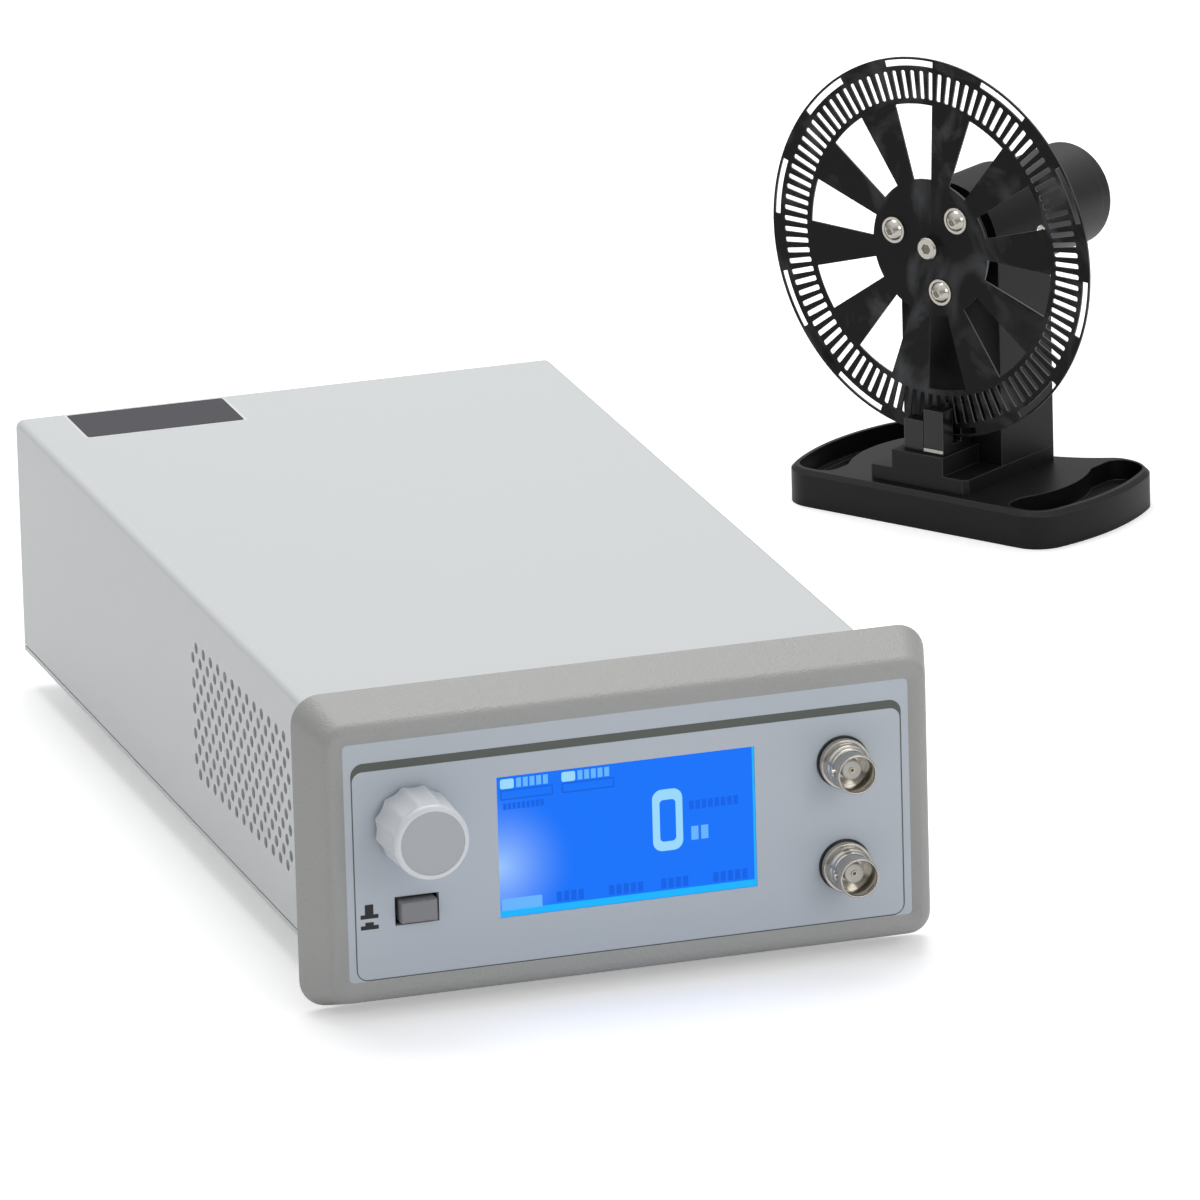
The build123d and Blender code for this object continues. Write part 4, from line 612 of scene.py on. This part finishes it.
def frontal_rows(sizes, x, z):
    """Rounded rectangles that face the front, one for each (width, height, radius, depth)."""
    rows = []
    for width, height, radius, depth in sizes:
        line = rounded_line(width, height, radius)
        rows.append(np.stack([line[:, 0] + x, np.full(len(line), depth), line[:, 1] + z], 1))
    return np.array(rows)


print("points of a rounded rectangle:", len(rounded_line(2, 1, 0.2)))

# %% [markdown]
# The crest starts on the leaning flank and ends on the lip of the mouth. Its middle point, the
# knee, is where the two straight lines would meet, so the curve leaves both without a kink.

# %% Make the bezel
def bezel_sizes():
    """Rows from the rim round to the seat. The crest is (1 - t)^2 a + 2 t (1 - t) b + t^2 c."""
    lean_w, lean_h = (RIM[0] - CREST[0]) / CREST_OUT, (RIM[1] - CREST[1]) / CREST_OUT
    flank = np.array([CREST[0] + lean_w * ROUND, CREST[1] + lean_h * ROUND, FLANK_R, ROUND - CREST_OUT])
    knee = np.array([*CREST, -CREST_OUT])
    lip = np.array([MOUTH[0] + LIP, MOUTH[1] + LIP, LIP_R, -CREST_OUT])
    t = np.linspace(0, 1, CREST_STEPS)[:, None]
    crest = (1 - t) ** 2 * flank + 2 * t * (1 - t) * knee + t ** 2 * lip
    land = (RIM[0] - lean_w * RIM_LAND, RIM[1] - lean_h * RIM_LAND, RIM[2] - 0.1, -RIM_LAND)
    return [(*RIM, 0.0), land, *crest, (*MOUTH, PANEL_FACE), (*MOUTH, PANEL_FACE + 0.3),
            (*SEAT, PANEL_FACE + 3.0), (*SEAT, 0.0)]


bezel = skin("bezel_moulding", on_case(frontal_rows(bezel_sizes(), 0, MID_Z)),
             LOOKS["bezel_moulding"], loop=True)
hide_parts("bezel")
print("bezel rows:", len(bezel_sizes()))

# %% [markdown]
# ## Knob
# Twelve shallow scallops for the fingers run down the knob and fade out before its face. They
# could be carved with cylinders and a Boolean, but their fading ends would need sculpting. Here
# the knob is a turned profile, and a scallop takes a little off its radius: most on its centre
# line, and nothing at half its width, as a parabola does.

# %% Sizes of the knob
knob_low, knob_high = (corner - case_zero for corner in span("knob"))
KNOB_AT = (knob_low + knob_high) / 2
KNOB_FRONT, KNOB_BACK = knob_low[1], knob_high[1]
KNOB_R = (knob_high[0] - knob_low[0]) / 2
FACE_R = KNOB_R - 0.6   # the side tapers to this radius at the face
FACE_EDGE = 1.1         # radius of the round edge of the face
CAP_SEAT_R = 7.85       # recess for the grey cap
CAP_SEAT_DEEP = 0.5
KNOB_WELL_R = 7.2       # hollow behind, which clears the nut
WELL_DEEP = 4.4
FLUTES = 12
FLUTE_HALF = 2.3        # half a scallop's width along the knob's side
FLUTE_DEPTH = 0.6
FLUTE_END = 1.7         # distance from the face at which the scallops have faded out
FLUTE_FADE = 1.6        # length over which they fade
print("knob radius", KNOB_R.round(2), "front", KNOB_FRONT.round(2))

# %% [markdown]
# Turned parts all come from one function: a profile of radii and depths, carried round an axis. It
# can take a scallop off each radius on the way, and works out all circles as one array.

# %% Circles about a front-to-back line
def round_rows(profile, x, z, count, scallop=None):
    """Circles about a front-to-back line: (x + r cos a, depth, z + r sin a) for each (r, depth)."""
    around = np.linspace(0, 2 * math.pi, count, endpoint=False)
    radius, depth = np.array(profile, float).T[..., None]
    if scallop:
        radius = radius - scallop(around, radius, depth)
    points = (x + radius * np.cos(around), depth, z + radius * np.sin(around))
    return np.stack(np.broadcast_arrays(*points), -1)


print("rows, points and coordinates:", round_rows([(1, 0), (1, 2)], 0, 0, 12).shape)

# %% [markdown]
# The profile starts in the well behind the knob, which must stay hollow: when the dial is pushed
# in, the washer and the nut go into it. The scallops need rows close together to fade smoothly.

# %% Make the knob
SIDE_STEPS, EDGE_STEPS = 24, 6


def knob_profile():
    """Radius and depth from the well behind, over the back edge and the face, into the recess."""
    points = [(KNOB_WELL_R, KNOB_BACK - WELL_DEEP), (KNOB_WELL_R, KNOB_BACK),
              (KNOB_R - 0.2, KNOB_BACK), (KNOB_R, KNOB_BACK - 0.3)]
    for depth in np.linspace(KNOB_BACK - 0.8, KNOB_FRONT + FACE_EDGE + 0.1, SIDE_STEPS):
        share = (KNOB_BACK - depth) / (KNOB_BACK - KNOB_FRONT)
        points.append((KNOB_R + (FACE_R - KNOB_R) * share, depth))
    for angle in np.linspace(0.2, math.pi / 2, EDGE_STEPS):
        points.append((FACE_R - FACE_EDGE * (1 - math.cos(angle)),
                       KNOB_FRONT + FACE_EDGE * (1 - math.sin(angle))))
    return points + [(CAP_SEAT_R + 0.1, KNOB_FRONT), (CAP_SEAT_R, KNOB_FRONT + 0.1),
                     (CAP_SEAT_R, KNOB_FRONT + CAP_SEAT_DEEP)]


def knob_scallop(around, radius, depth):
    """Depth taken off: deepest x fade x (1 - off^2), off = 1 at half a scallop's width."""
    fade = np.clip((depth - KNOB_FRONT - FLUTE_END) / FLUTE_FADE, 0, 1) ** 0.5
    step = 2 * math.pi / FLUTES
    off = ((around + step / 2) % step - step / 2) * KNOB_R / FLUTE_HALF
    return FLUTE_DEPTH * fade * (radius > KNOB_WELL_R) * np.clip(1 - off ** 2, 0, 1)


knob_rows = round_rows(knob_profile(), KNOB_AT[0], KNOB_AT[2], 24 * FLUTES, knob_scallop)
knob = skin("knob_moulding", on_case(knob_rows), LOOKS["knob_plastic"], body="dial", smooth=50)
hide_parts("knob")
print("knob rows:", len(knob_rows))

# %% [markdown]
# ## Bayonet connectors
# Two bayonet connectors bring the signals out. Each is turned on a lathe, so each piece of it is
# a profile carried round its axis: a thin-walled mouth with the insulator deep inside, a neck, two
# rounded ribs and the flange. Two small lugs stand out of the barrel and lock the cable's plug.

# %% Profiles of a connector
CONNECTORS = {"upper": (53.4, 50.05), "lower": (53.4, 24.2)}
CONNECTOR_MOUTH = PANEL_FACE - 11.65
CORE_R = 2.45
TAIL_END = 19.65
# Each point is a radius and a distance behind the mouth.
BARREL = [(CORE_R, 6.6), (4.3, 6.6), (4.3, 0.25), (4.45, 0.0), (4.7, 0.0), (4.83, 0.15), (4.83, 2.3)]
NECK = [(4.6, 2.5), (4.6, 5.1)]
FRONT_RIB = [(4.8, 5.3), (5.0, 5.6), (5.06, 5.9), (5.0, 6.2), (4.85, 6.45)]
REAR_RIB = [(5.15, 6.7), (5.4, 7.1), (5.45, 7.5), (5.4, 7.9), (5.2, 8.2), (5.2, 8.65)]
FLANGE = [(5.95, 8.65), (6.1, 8.8), (6.1, 11.05)]
TAIL = [(4.7, 11.05), (4.7, TAIL_END), (CORE_R, TAIL_END)]
TURNED = {
    "shell": ("nickel", BARREL + NECK + FRONT_RIB + REAR_RIB + FLANGE + TAIL),
    "core": ("white_plastic", [(0.75, 5.0), (0.75, 4.3), (2.2, 4.2), (2.4, 4.4), (2.4, 6.8)]),
    "contact": ("gold", [(0.35, 5.4), (0.35, 4.15), (0.45, 4.05), (0.7, 4.05), (0.7, 5.2)])}
LUG = [(4.3, 1.0), (5.4, 1.0), (5.57, 0.83)]  # distance from the axis and the lug's own radius
LUG_BACK = 3.6
TURNED_STEPS, LUG_STEPS = 64, 24
print("points of the shell's profile:", len(TURNED["shell"][1]))

# %% [markdown]
# The shell is a tube, so its last circle joins its first. The insulator and the contact end inside
# it and are capped. Each piece takes the place of the CAD piece of the same material.

# %% Make the connectors
def connector(name, x, z):
    """The turned pieces of one connector and the two lugs that stand out of its sides."""
    for part, (slot, profile) in TURNED.items():
        rows = round_rows([(radius, CONNECTOR_MOUTH + back) for radius, back in profile],
                          x, z, TURNED_STEPS)
        made = skin(f"connector_{part}_{name}", on_case(rows), LOOKS[slot],
                    loop=part == "shell", smooth=32)
        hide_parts(f"bnc_{part}s")
    around = np.linspace(0, 2 * math.pi, LUG_STEPS, endpoint=False)
    for side in (-1, 1):
        rows = np.array([np.stack([np.full(LUG_STEPS, x + side * out),
                                   CONNECTOR_MOUTH + LUG_BACK + radius * np.cos(around),
                                   z + radius * np.sin(around)], 1) for out, radius in LUG])
        lug = skin(f"connector_lug_{name}_{side + 2}", on_case(rows), LOOKS["nickel"])


for name, (x, z) in CONNECTORS.items():
    connector(name, x, z)
print("connectors:", len(CONNECTORS))

# %% [markdown]
# ## Blade
# The blade is a thin disc, etched through in three tracks: ten wide openings, a hundred fine slots
# and ten windows near the rim. A Boolean with so many cutters is slow and fragile. Instead each
# track is a ring of equal cells, and a cell is a sector of sheet with one hole. Its points lie in
# a square from -1 to 1, which is bent into the sector: the height becomes the radius
# r = r0 + (r1 - r0) (y + 1) / 2 and the width becomes the angle a = x * half.

# %% Sizes of the blade
BLADE_R = (blade_high[2] - blade_low[2]) / 2
BLADE_MID_Z = BLADE_R + blade_low[2]
BLADE_T = 0.5
BLADE_PHASE = 87.8          # degrees; where the blade stands at rest
# Inner and outer radius of each track's holes, and the circles at which the tracks meet.
OPENING, FINE, RIM_WINDOW = (18.3, 38.4), (39.8, 47.3), (48.5, 50.2)
LANDS = (16.5, 39.1, 47.9)
OPENINGS, FINE_SLOTS = 10, 100
FINE_W = 1.37               # width of a fine slot
FINE_END_R = 0.42           # radius of its corners
CENTRE_HOLE = 3.0
# Where the etch cut through, the edge of the sheet is bare: a thin grey glint round each hole.
EDGE = surface("etched bare edge", "#5C5D5F", metallic=0.6, rough=0.35)
print("blade", round(2 * BLADE_R, 1), "mm across")

# %% [markdown]
# Bending a straight cell into a sector keeps its sides on the radii, so neighbours share them
# exactly and their points merge. Turned copies of the sector then close the ring.

# %% Cells and tracks
def bent(line, inner, outer, half):
    """A line in a square from -1 to 1, bent into a ring sector of this half angle in degrees."""
    angle = line[:, 0] * math.radians(half)
    radius = inner + (outer - inner) * (line[:, 1] + 1) / 2
    return np.stack([radius * np.cos(angle), radius * np.sin(angle)], 1)


def bare_edges(mesh):
    """Give the faces that look away from the shaft's direction the material of a bare edge."""
    mesh.materials.append(EDGE)
    normals = np.empty(len(mesh.polygons) * 3)
    mesh.polygons.foreach_get("normal", normals)
    axis = np.array([-math.sin(head_turn), math.cos(head_turn), 0])
    away = np.abs(normals.reshape(-1, 3) @ axis) < 0.5
    mesh.polygons.foreach_set("material_index", away.astype(np.int32))


def track(name, cell, copies, start, loop=False):
    """Copies of a cell side by side round the shaft, the first at an angle from +X towards +Z.

    With `loop` the outlines get their thickness too, which only the outermost track needs.
    """
    turns = np.radians(start + np.arange(copies) * 360 / copies)[:, None, None]
    x, z, depth = cell[..., 0], cell[..., 1], cell[..., 2] + np.zeros((copies, 1, 1))
    cells = np.stack([x * np.cos(turns) - z * np.sin(turns), depth,
                      x * np.sin(turns) + z * np.cos(turns) + BLADE_MID_Z], -1)
    made = piece(name, on_head(cells), repeated_faces(cells, loop), LOOKS["blade_black"], body="rotor")
    bare_edges(made.data)
    return made


print("a square's corner, bent into 36 degrees:", bent(np.ones((1, 2)), *OPENING, 18).round(1)[0])

# %% [markdown]
# The wide openings and the rim windows are sectors themselves. A fine slot has parallel sides and
# rounded corners instead, because it is as wide at its foot as at its top.

# %% Make the blade
SECTOR_STEPS = (24, 2)
MIDDLE_STEPS = 240


def wide_cell(inner, outer, holes):
    """A tenth of a track, with an opening over half of its angle."""
    step, sector = 360 / OPENINGS, box_line(1, 1, *SECTOR_STEPS)
    return pierced_cell(bent(sector, inner, outer, step / 2), bent(sector, *holes, step / 4),
                        -BLADE_T / 2, BLADE_T / 2)


def fine_cell():
    """A hundredth of the middle track, with a slot in it.

    Its outline has as many points as the slot. The middle point of each of its corners is pushed
    out to the square's own corner, so that neighbours close.
    """
    corners = rounded_line(2, 2, 0.6, 3)[:, ::-1]
    corners[1::3] = np.sign(corners[1::3])
    slot = rounded_line(FINE[1] - FINE[0], FINE_W, FINE_END_R, 3) + np.array([sum(FINE) / 2, 0])
    return pierced_cell(bent(corners, LANDS[1], LANDS[2], 180 / FINE_SLOTS), slot,
                        -BLADE_T / 2, BLADE_T / 2)


def blade_middle():
    """The plain disc between the centre hole and the first track."""
    front, back = -BLADE_T / 2, BLADE_T / 2
    profile = [(CENTRE_HOLE, front), (LANDS[0], front), (LANDS[0], back), (CENTRE_HOLE, back)]
    rows = round_rows(profile, 0, BLADE_MID_Z, MIDDLE_STEPS)
    made = skin("blade_middle", on_head(rows), LOOKS["blade_black"], body="rotor", loop=True)
    return made


wide_start = BLADE_PHASE + 90 / OPENINGS
blade_parts = [
    track("blade_openings", wide_cell(LANDS[0], LANDS[1], OPENING), OPENINGS, wide_start),
    track("blade_slots", fine_cell(), FINE_SLOTS, BLADE_PHASE + 90 / FINE_SLOTS),
    track("blade_windows", wide_cell(LANDS[2], BLADE_R, RIM_WINDOW), OPENINGS, wide_start, loop=True),
    blade_middle()]
for part in blade_parts:
    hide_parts("blade")
print("pieces of the blade:", len(blade_parts))

# %% [markdown]
# ## Printing on the panel
# Ink lies on the panel as a film a few hundredths of a millimetre thick. It could be a picture on
# the panel's surface, but thin plates keep their edges sharp at any distance and need no picture.
# The panel has a frame line with a thick bar at its top, and a sign beside the power button.

# %% Thin plates and rings
INK = surface("screen-printed ink", "#5A5F5A", rough=0.5)      # grey-green, quite matt
DARK_INK = surface("black printed ink", "#1C1D1E", rough=0.5)  # nearly black, quite matt
PRINT_T = 0.04


def print_plate(name, x0, x1, z0, z1, radius, depth, material):
    """A thin flat plate on a surface that faces the front."""
    sizes = [(x1 - x0, z1 - z0, radius, depth), (x1 - x0, z1 - z0, radius, depth - PRINT_T)]
    plate = skin(name, on_case(frontal_rows(sizes, (x0 + x1) / 2, (z0 + z1) / 2)), material)
    return plate


def print_ring(name, outer, inner, depth, material):
    """A flat ring between two rounded rectangles, each (left, right, bottom, top, radius)."""
    rows = []
    for (x0, x1, z0, z1, radius), lift in ((outer, 0), (outer, PRINT_T), (inner, PRINT_T), (inner, 0)):
        size = [(x1 - x0, z1 - z0, radius, depth - lift)]
        rows.append(frontal_rows(size, (x0 + x1) / 2, (z0 + z1) / 2)[0])
    return skin(name, on_case(np.array(rows)), material, loop=True)


print("ink", PRINT_T, "mm thick")

# %% [markdown]
# The frame line is thin on three sides and has its bar along the top, so it is a ring between two
# rounded rectangles that aren't centred on each other. The sign is a stem over a bar, twice.

# %% Print the panel
FRAME_X, FRAME_LOW, FRAME_HIGH, FRAME_R = 68.3, 9.9, 63.9, 3.0
LINE, BAR = 0.3, 2.1
print_ring("print_frame", (-FRAME_X, FRAME_X, FRAME_LOW, FRAME_HIGH, FRAME_R),
           (-FRAME_X + LINE, FRAME_X - LINE, FRAME_LOW + LINE, FRAME_HIGH - BAR, FRAME_R - 0.5),
           PANEL_FACE, INK)
SIGN = {"upper_stem": (-65.8, -63.7, 26.4, 28.9), "upper_bar": (-66.9, -62.5, 25.4, 26.4),
        "lower_stem": (-65.8, -63.7, 23.7, 24.5), "lower_bar": (-66.9, -62.5, 22.7, 23.7)}
for name, (x0, x1, z0, z1) in SIGN.items():
    print_plate("print_" + name, x0, x1, z0, z1, 0.1, PANEL_FACE, DARK_INK)
print("plates of the sign:", len(SIGN))

# %% [markdown]
# ## Lit display
# The display is lit from behind by a lamp at its left edge, so its blue is paler there. A real
# lamp behind the glass would need a lot of light paths. A gradient in the glow's own colour gives
# the same view: a sphere of influence round the lamp, with share = (1 - distance / reach) ^ 1.8.

# %% Backlight and colours of the display
window_low, window_high = (corner - case_zero for corner in span("display_window"))
GLASS = window_low[1]
SPOT_Z, SPOT_REACH, SPOT_FALL = 34.0, 19.0, 1.8


def backlight_spot(material, x, z, code):
    """Blend the glow towards a paler colour round one point of the glass."""
    tree = material.node_tree
    centre = on_case([x, GLASS, z])
    scale = 1 / (SPOT_REACH * MM)
    place = add(tree, "ShaderNodeTexCoord")
    mapping = add(tree, "ShaderNodeMapping",
                  values={"Location": tuple(-centre * scale), "Scale": (scale, scale, scale)},
                  links={"Vector": place.outputs["Object"]})
    fade = add(tree, "ShaderNodeTexGradient", {"gradient_type": "SPHERICAL"},
               links={"Vector": mapping.outputs[0]})
    shader = tree.nodes["Principled BSDF"]
    soft = add(tree, "ShaderNodeMath", {"operation": "POWER"}, {1: SPOT_FALL},
               {0: fade.outputs["Fac"]})
    ground = tuple(shader.inputs["Emission Color"].default_value)
    mix = add(tree, "ShaderNodeMix", {"data_type": "RGBA"}, {6: ground, 7: linear(code)},
              {0: soft.outputs[0]})
    tree.links.new(mix.outputs[2], shader.inputs["Emission Color"])


backlight_spot(LOOKS["display_glass"], window_low[0], SPOT_Z, "#9CC6FF")
LIT = {"strip": glow("display strip", "#19B4FF"), "numeral": glow("display numeral", "#9AD8FA"),
       "block": glow("display block", "#66B4FC"), "outline": glow("display outline", "#0F5FD8"),
       "faint": glow("display faint block", "#0D62E6")}
print("display", (window_high - window_low)[[0, 2]].round(1), "mm")

# %% [markdown]
# What is drawn on the display is made of the same thin plates: a bright strip along two edges, two
# tabs at the top left with an outlined box under each, rows of small blocks, and one numeral.

# %% Plates, rings and blocks of light
def lcd_plate(name, x0, x1, z0, z1, radius, light):
    """A lit plate on the glass."""
    print_plate("lcd_" + name, x0, x1, z0, z1, radius, GLASS, LIT[light])


def lcd_ring(name, outer, inner, light):
    """A lit ring on the glass."""
    print_ring("lcd_" + name, outer, inner, GLASS, LIT[light])


def lcd_word(name, x, z, letters, size, light):
    """A row of blocks from its left end and its foot: 0.72 of their height apart, 0.52 wide."""
    pitch = size * 0.72
    ranges = [(x + index * pitch, x + index * pitch + 0.52 * size, GLASS - PRINT_T, GLASS, z, z + size)
              for index in range(letters)]
    boxes("lcd_word_" + name, ranges, LIT[light])


print("colours of the display:", ", ".join(LIT))

# %% [markdown]
# Everything on the display is placed from the edges of its window, so it moves with the window.

# %% Draw the display
left, right, foot, head = window_low[0], window_high[0], window_low[2], window_high[2]
STRIP_H, STRIP_W = 1.7, 0.5
TAB_STARTS = {"outer": 0.8, "inner": 16.0}
TAB_W, TAB_H, TAB_MARK_W, BOX_H = 13.0, 2.4, 3.4, 2.8
WORDS = {"note": (left + 1.4, head - 8.2, 9, 1.6, "faint"),
         "type": (right - 16.4, 42.6, 8, 2.2, "faint"),
         "unit": (right - 16.0, 35.0, 2, 3.4, "block")}
KEYS = ((14.0, 4), (27.0, 5), (40.0, 4), (53.0, 5))  # start from the left edge, and blocks
KEY_FOOT, KEY_SIZE = 2.2, 2.5
lcd_plate("bottom", left, right, foot, foot + STRIP_H, 0.05, "strip")
lcd_plate("right", right - STRIP_W, right, foot + STRIP_H, head, 0.05, "strip")
for name, start in TAB_STARTS.items():
    edge, top = left + start, head - 0.6
    under = top - TAB_H
    lcd_plate("tab_" + name, edge, edge + TAB_MARK_W, under, top, 0.5, "numeral")
    lcd_word(name, edge + TAB_MARK_W + 0.6, under + 0.1, 5, TAB_H - 0.1, "block")
    lcd_ring("box_" + name, (edge, edge + TAB_W, under - BOX_H, under - LINE, 0.2),
             (edge + LINE, edge + TAB_W - LINE, under - BOX_H + LINE, under - 2 * LINE, 0.1), "outline")
for name, word in WORDS.items():
    lcd_word(name, *word)
for index, (start, letters) in enumerate(KEYS):
    lcd_word(f"key_{index}", left + start, foot + KEY_FOOT, letters, KEY_SIZE, "faint")
lcd_plate("key", left + 0.4, left + 10.4, foot + 1.5, foot + 4.5, 0.2, "block")
lcd_ring("numeral_0", (5.9, 13.4, 33.1, 48.4, 2.4), (7.7, 11.7, 35.4, 45.8, 1.0), "numeral")

# %% [markdown]
# ## Label on the cover and strip on the sensor
# A printed film is stuck on the cover's top, near its rear, and a pale strip sits on the inner
# sensor of the head. Both are flat pieces too. The film's rows are rounded rectangles that face
# up, one above the other: a pale border first, and the dark film a little higher.

# %% Label and strip
PALE_INK = surface("pale printed ink", "#E4E6E4", rough=0.5)  # white, quite matt
# Laminated film: dark grey, and duller than ink because its top is embossed.
LABEL = surface("printed label film", "#46464C", rough=0.5, Specular_IOR_Level=0.2)
COVER_TOP = span("cover")[1][2]
LABEL_R = 0.8
STRIP_SIZE = (6.0, 0.8, 0.1)  # width, height and corner radius
SENSOR_FACE = -6.2


def label(name, x0, x1, y0, y1, lift, material):
    """A thin plate on top of the cover: rounded rectangles in X and Y, one above the other."""
    line = rounded_line(x1 - x0, y1 - y0, LABEL_R)
    rows = [np.stack([line[:, 0] + (x0 + x1) / 2, line[:, 1] + (y0 + y1) / 2,
                      np.full(len(line), COVER_TOP + height)], 1) for height in (0.0, lift)]
    return skin(name, on_case(np.array(rows)), material)


label("label_border", -58.6, -16.3, 251.2, 273.2, 0.05, PALE_INK)
label("label_plate", -57.9, -17.0, 251.9, 272.5, 0.09, LABEL)
strip = frontal_rows([(*STRIP_SIZE, SENSOR_FACE), (*STRIP_SIZE, SENSOR_FACE - 0.3)], 4.1, 20.2)
marker = skin("sensor_strip", on_head(strip), LOOKS["white_plastic"])
printed = [o for o in bpy.data.objects if o.name.startswith(("print_", "lcd_", "label_"))]
print("printed and lit pieces:", len(printed))

# %% [markdown]
# ## White paper
# The set stands on white paper that runs on without an edge. Plain white paper under soft lamps
# renders as pale grey. A little glow that only the camera sees lifts it to pure white, and it
# still takes shadows and throws no extra light on the set.

# %% Floor
scene = bpy.context.scene
scene.view_settings.view_transform = "Standard"
PAPER_GLOW = 0.35
PAPER_HALF = 4.0  # metres


def backdrop():
    """A white square whose glow is PAPER_GLOW for rays from the camera and 0 for all others."""
    mesh = bpy.data.meshes.new("floor")
    corners = [(x * PAPER_HALF, y * PAPER_HALF, 0) for x, y in ((-1, -1), (1, -1), (1, 1), (-1, 1))]
    mesh.from_pydata(corners, [], [(0, 1, 2, 3)])
    floor = bpy.data.objects.new("floor", mesh)
    scene.collection.objects.link(floor)
    paper = surface("white paper", "#FFFFFF", rough=0.9)
    tree = paper.node_tree
    ray = add(tree, "ShaderNodeLightPath")
    seen = add(tree, "ShaderNodeMath", {"operation": "MULTIPLY"}, {1: PAPER_GLOW},
               {0: ray.outputs["Is Camera Ray"]})
    tree.nodes["Principled BSDF"].inputs["Emission Color"].default_value = linear("#FFFFFF")
    tree.links.new(seen.outputs[0], tree.nodes["Principled BSDF"].inputs["Emission Strength"])
    mesh.materials.append(paper)


backdrop()
print("paper", 2 * PAPER_HALF, "m wide")

# %% [markdown]
# ## Light
# A soft box above the set gives most of the light, and two weaker ones fill its front and its left
# side. The world is even for plain surfaces. Bright metal needs something to mirror, so it sees
# the same room dim low down and bright overhead, like black cards round a product in a studio.

# %% World and lamps
DIM, BRIGHT, EVEN = 0.12, 1.0, 0.42
LOW_Z, HIGH_Z = -0.1, 0.8  # heights in the sky between which it brightens
# Place and aim in metres, size in metres, power in watts.
LAMPS = {"above": ((0.1, 0.5, 1.4), (0, 0, 0), 1.2, 14.0),
         "left": ((-1.3, -0.6, 0.7), (0, 0, 0.05), 0.8, 0.4),
         "front": ((0.5, -1.5, 0.7), (0, 0, 0.05), 0.8, 4.5)}


def studio():
    """World strength: EVEN for plain rays, and for mirrored rays a ramp over the sky's height."""
    world = bpy.data.worlds.new("studio")
    scene.world = world
    world.use_nodes = True
    sky = world.node_tree
    sky.nodes["Background"].inputs["Color"].default_value = (1.0, 1.0, 1.0, 1.0)
    ray = add(sky, "ShaderNodeLightPath")
    heading = add(sky, "ShaderNodeTexCoord")
    split = add(sky, "ShaderNodeSeparateXYZ", links={0: heading.outputs["Generated"]})
    ramp = add(sky, "ShaderNodeMapRange",
               values={"From Min": LOW_Z, "From Max": HIGH_Z, "To Min": DIM, "To Max": BRIGHT},
               links={"Value": split.outputs["Z"]})
    strength = add(sky, "ShaderNodeMix", values={2: EVEN},
                   links={0: ray.outputs["Is Glossy Ray"], 3: ramp.outputs[0]})
    sky.links.new(strength.outputs[0], sky.nodes["Background"].inputs["Strength"])


def area_light(name, place, aim, size, power):
    """A square light that looks from its place to its aim."""
    data = bpy.data.lights.new(name, "AREA")
    data.size = size
    data.energy = power
    lamp = bpy.data.objects.new(name, data)
    scene.collection.objects.link(lamp)
    lamp.location = place
    lamp.rotation_euler = (Vector(aim) - Vector(place)).to_track_quat("-Z", "Y").to_euler()


studio()
for name, lamp in LAMPS.items():
    area_light(name, *lamp)
print("lamps:", len(LAMPS))

# %% [markdown]
# ## Camera
# The camera stands far off and looks through a long lens, as product cameras do, so that lines
# stay almost parallel. Its place was solved from corners of the two units. It is written as a turn
# about Z, a tilt, a roll and a shift, from the zero that was used to solve it.

# %% Camera
PICTURE = 1200       # pixels across
SENSOR = 36          # millimetres across
FOCAL = 15170.7      # pixels
YAW, PITCH, ROLL = (math.radians(angle) for angle in (16.982, 17.272, 1.609))
SHIFT = np.array([-66.11, 3596.26, -86.15])
SOLVE_ZERO = case_zero + np.array([-70.75, 0.0, 9.0])


def camera():
    """Right, up and ahead of the tilted camera, then the roll about ahead and the turn about Z."""
    about = np.array([[math.cos(YAW), math.sin(YAW), 0],
                      [-math.sin(YAW), math.cos(YAW), 0], [0, 0, 1]])
    ahead = np.array([0, math.cos(PITCH), -math.sin(PITCH)])
    above = np.array([0, math.sin(PITCH), math.cos(PITCH)])
    right = np.array([1.0, 0, 0])
    place = -(SHIFT[0] * right + SHIFT[1] * ahead + SHIFT[2] * above)
    rolled_right = right * math.cos(ROLL) - above * math.sin(ROLL)
    rolled_up = right * math.sin(ROLL) + above * math.cos(ROLL)
    data = bpy.data.cameras.new("camera")
    data.sensor_width = SENSOR
    data.lens = FOCAL * SENSOR / PICTURE
    data.clip_start, data.clip_end = 0.05, 50
    eye = bpy.data.objects.new("camera", data)
    scene.collection.objects.link(eye)
    turn = np.stack([about @ rolled_right, about @ rolled_up, -(about @ ahead)], 1)
    spot = (about @ place + SOLVE_ZERO) * MM
    eye.matrix_world = Matrix.Translation(Vector(spot)) @ Matrix(turn.tolist()).to_4x4()
    scene.camera = eye
    return spot


print("camera at", camera().round(3))
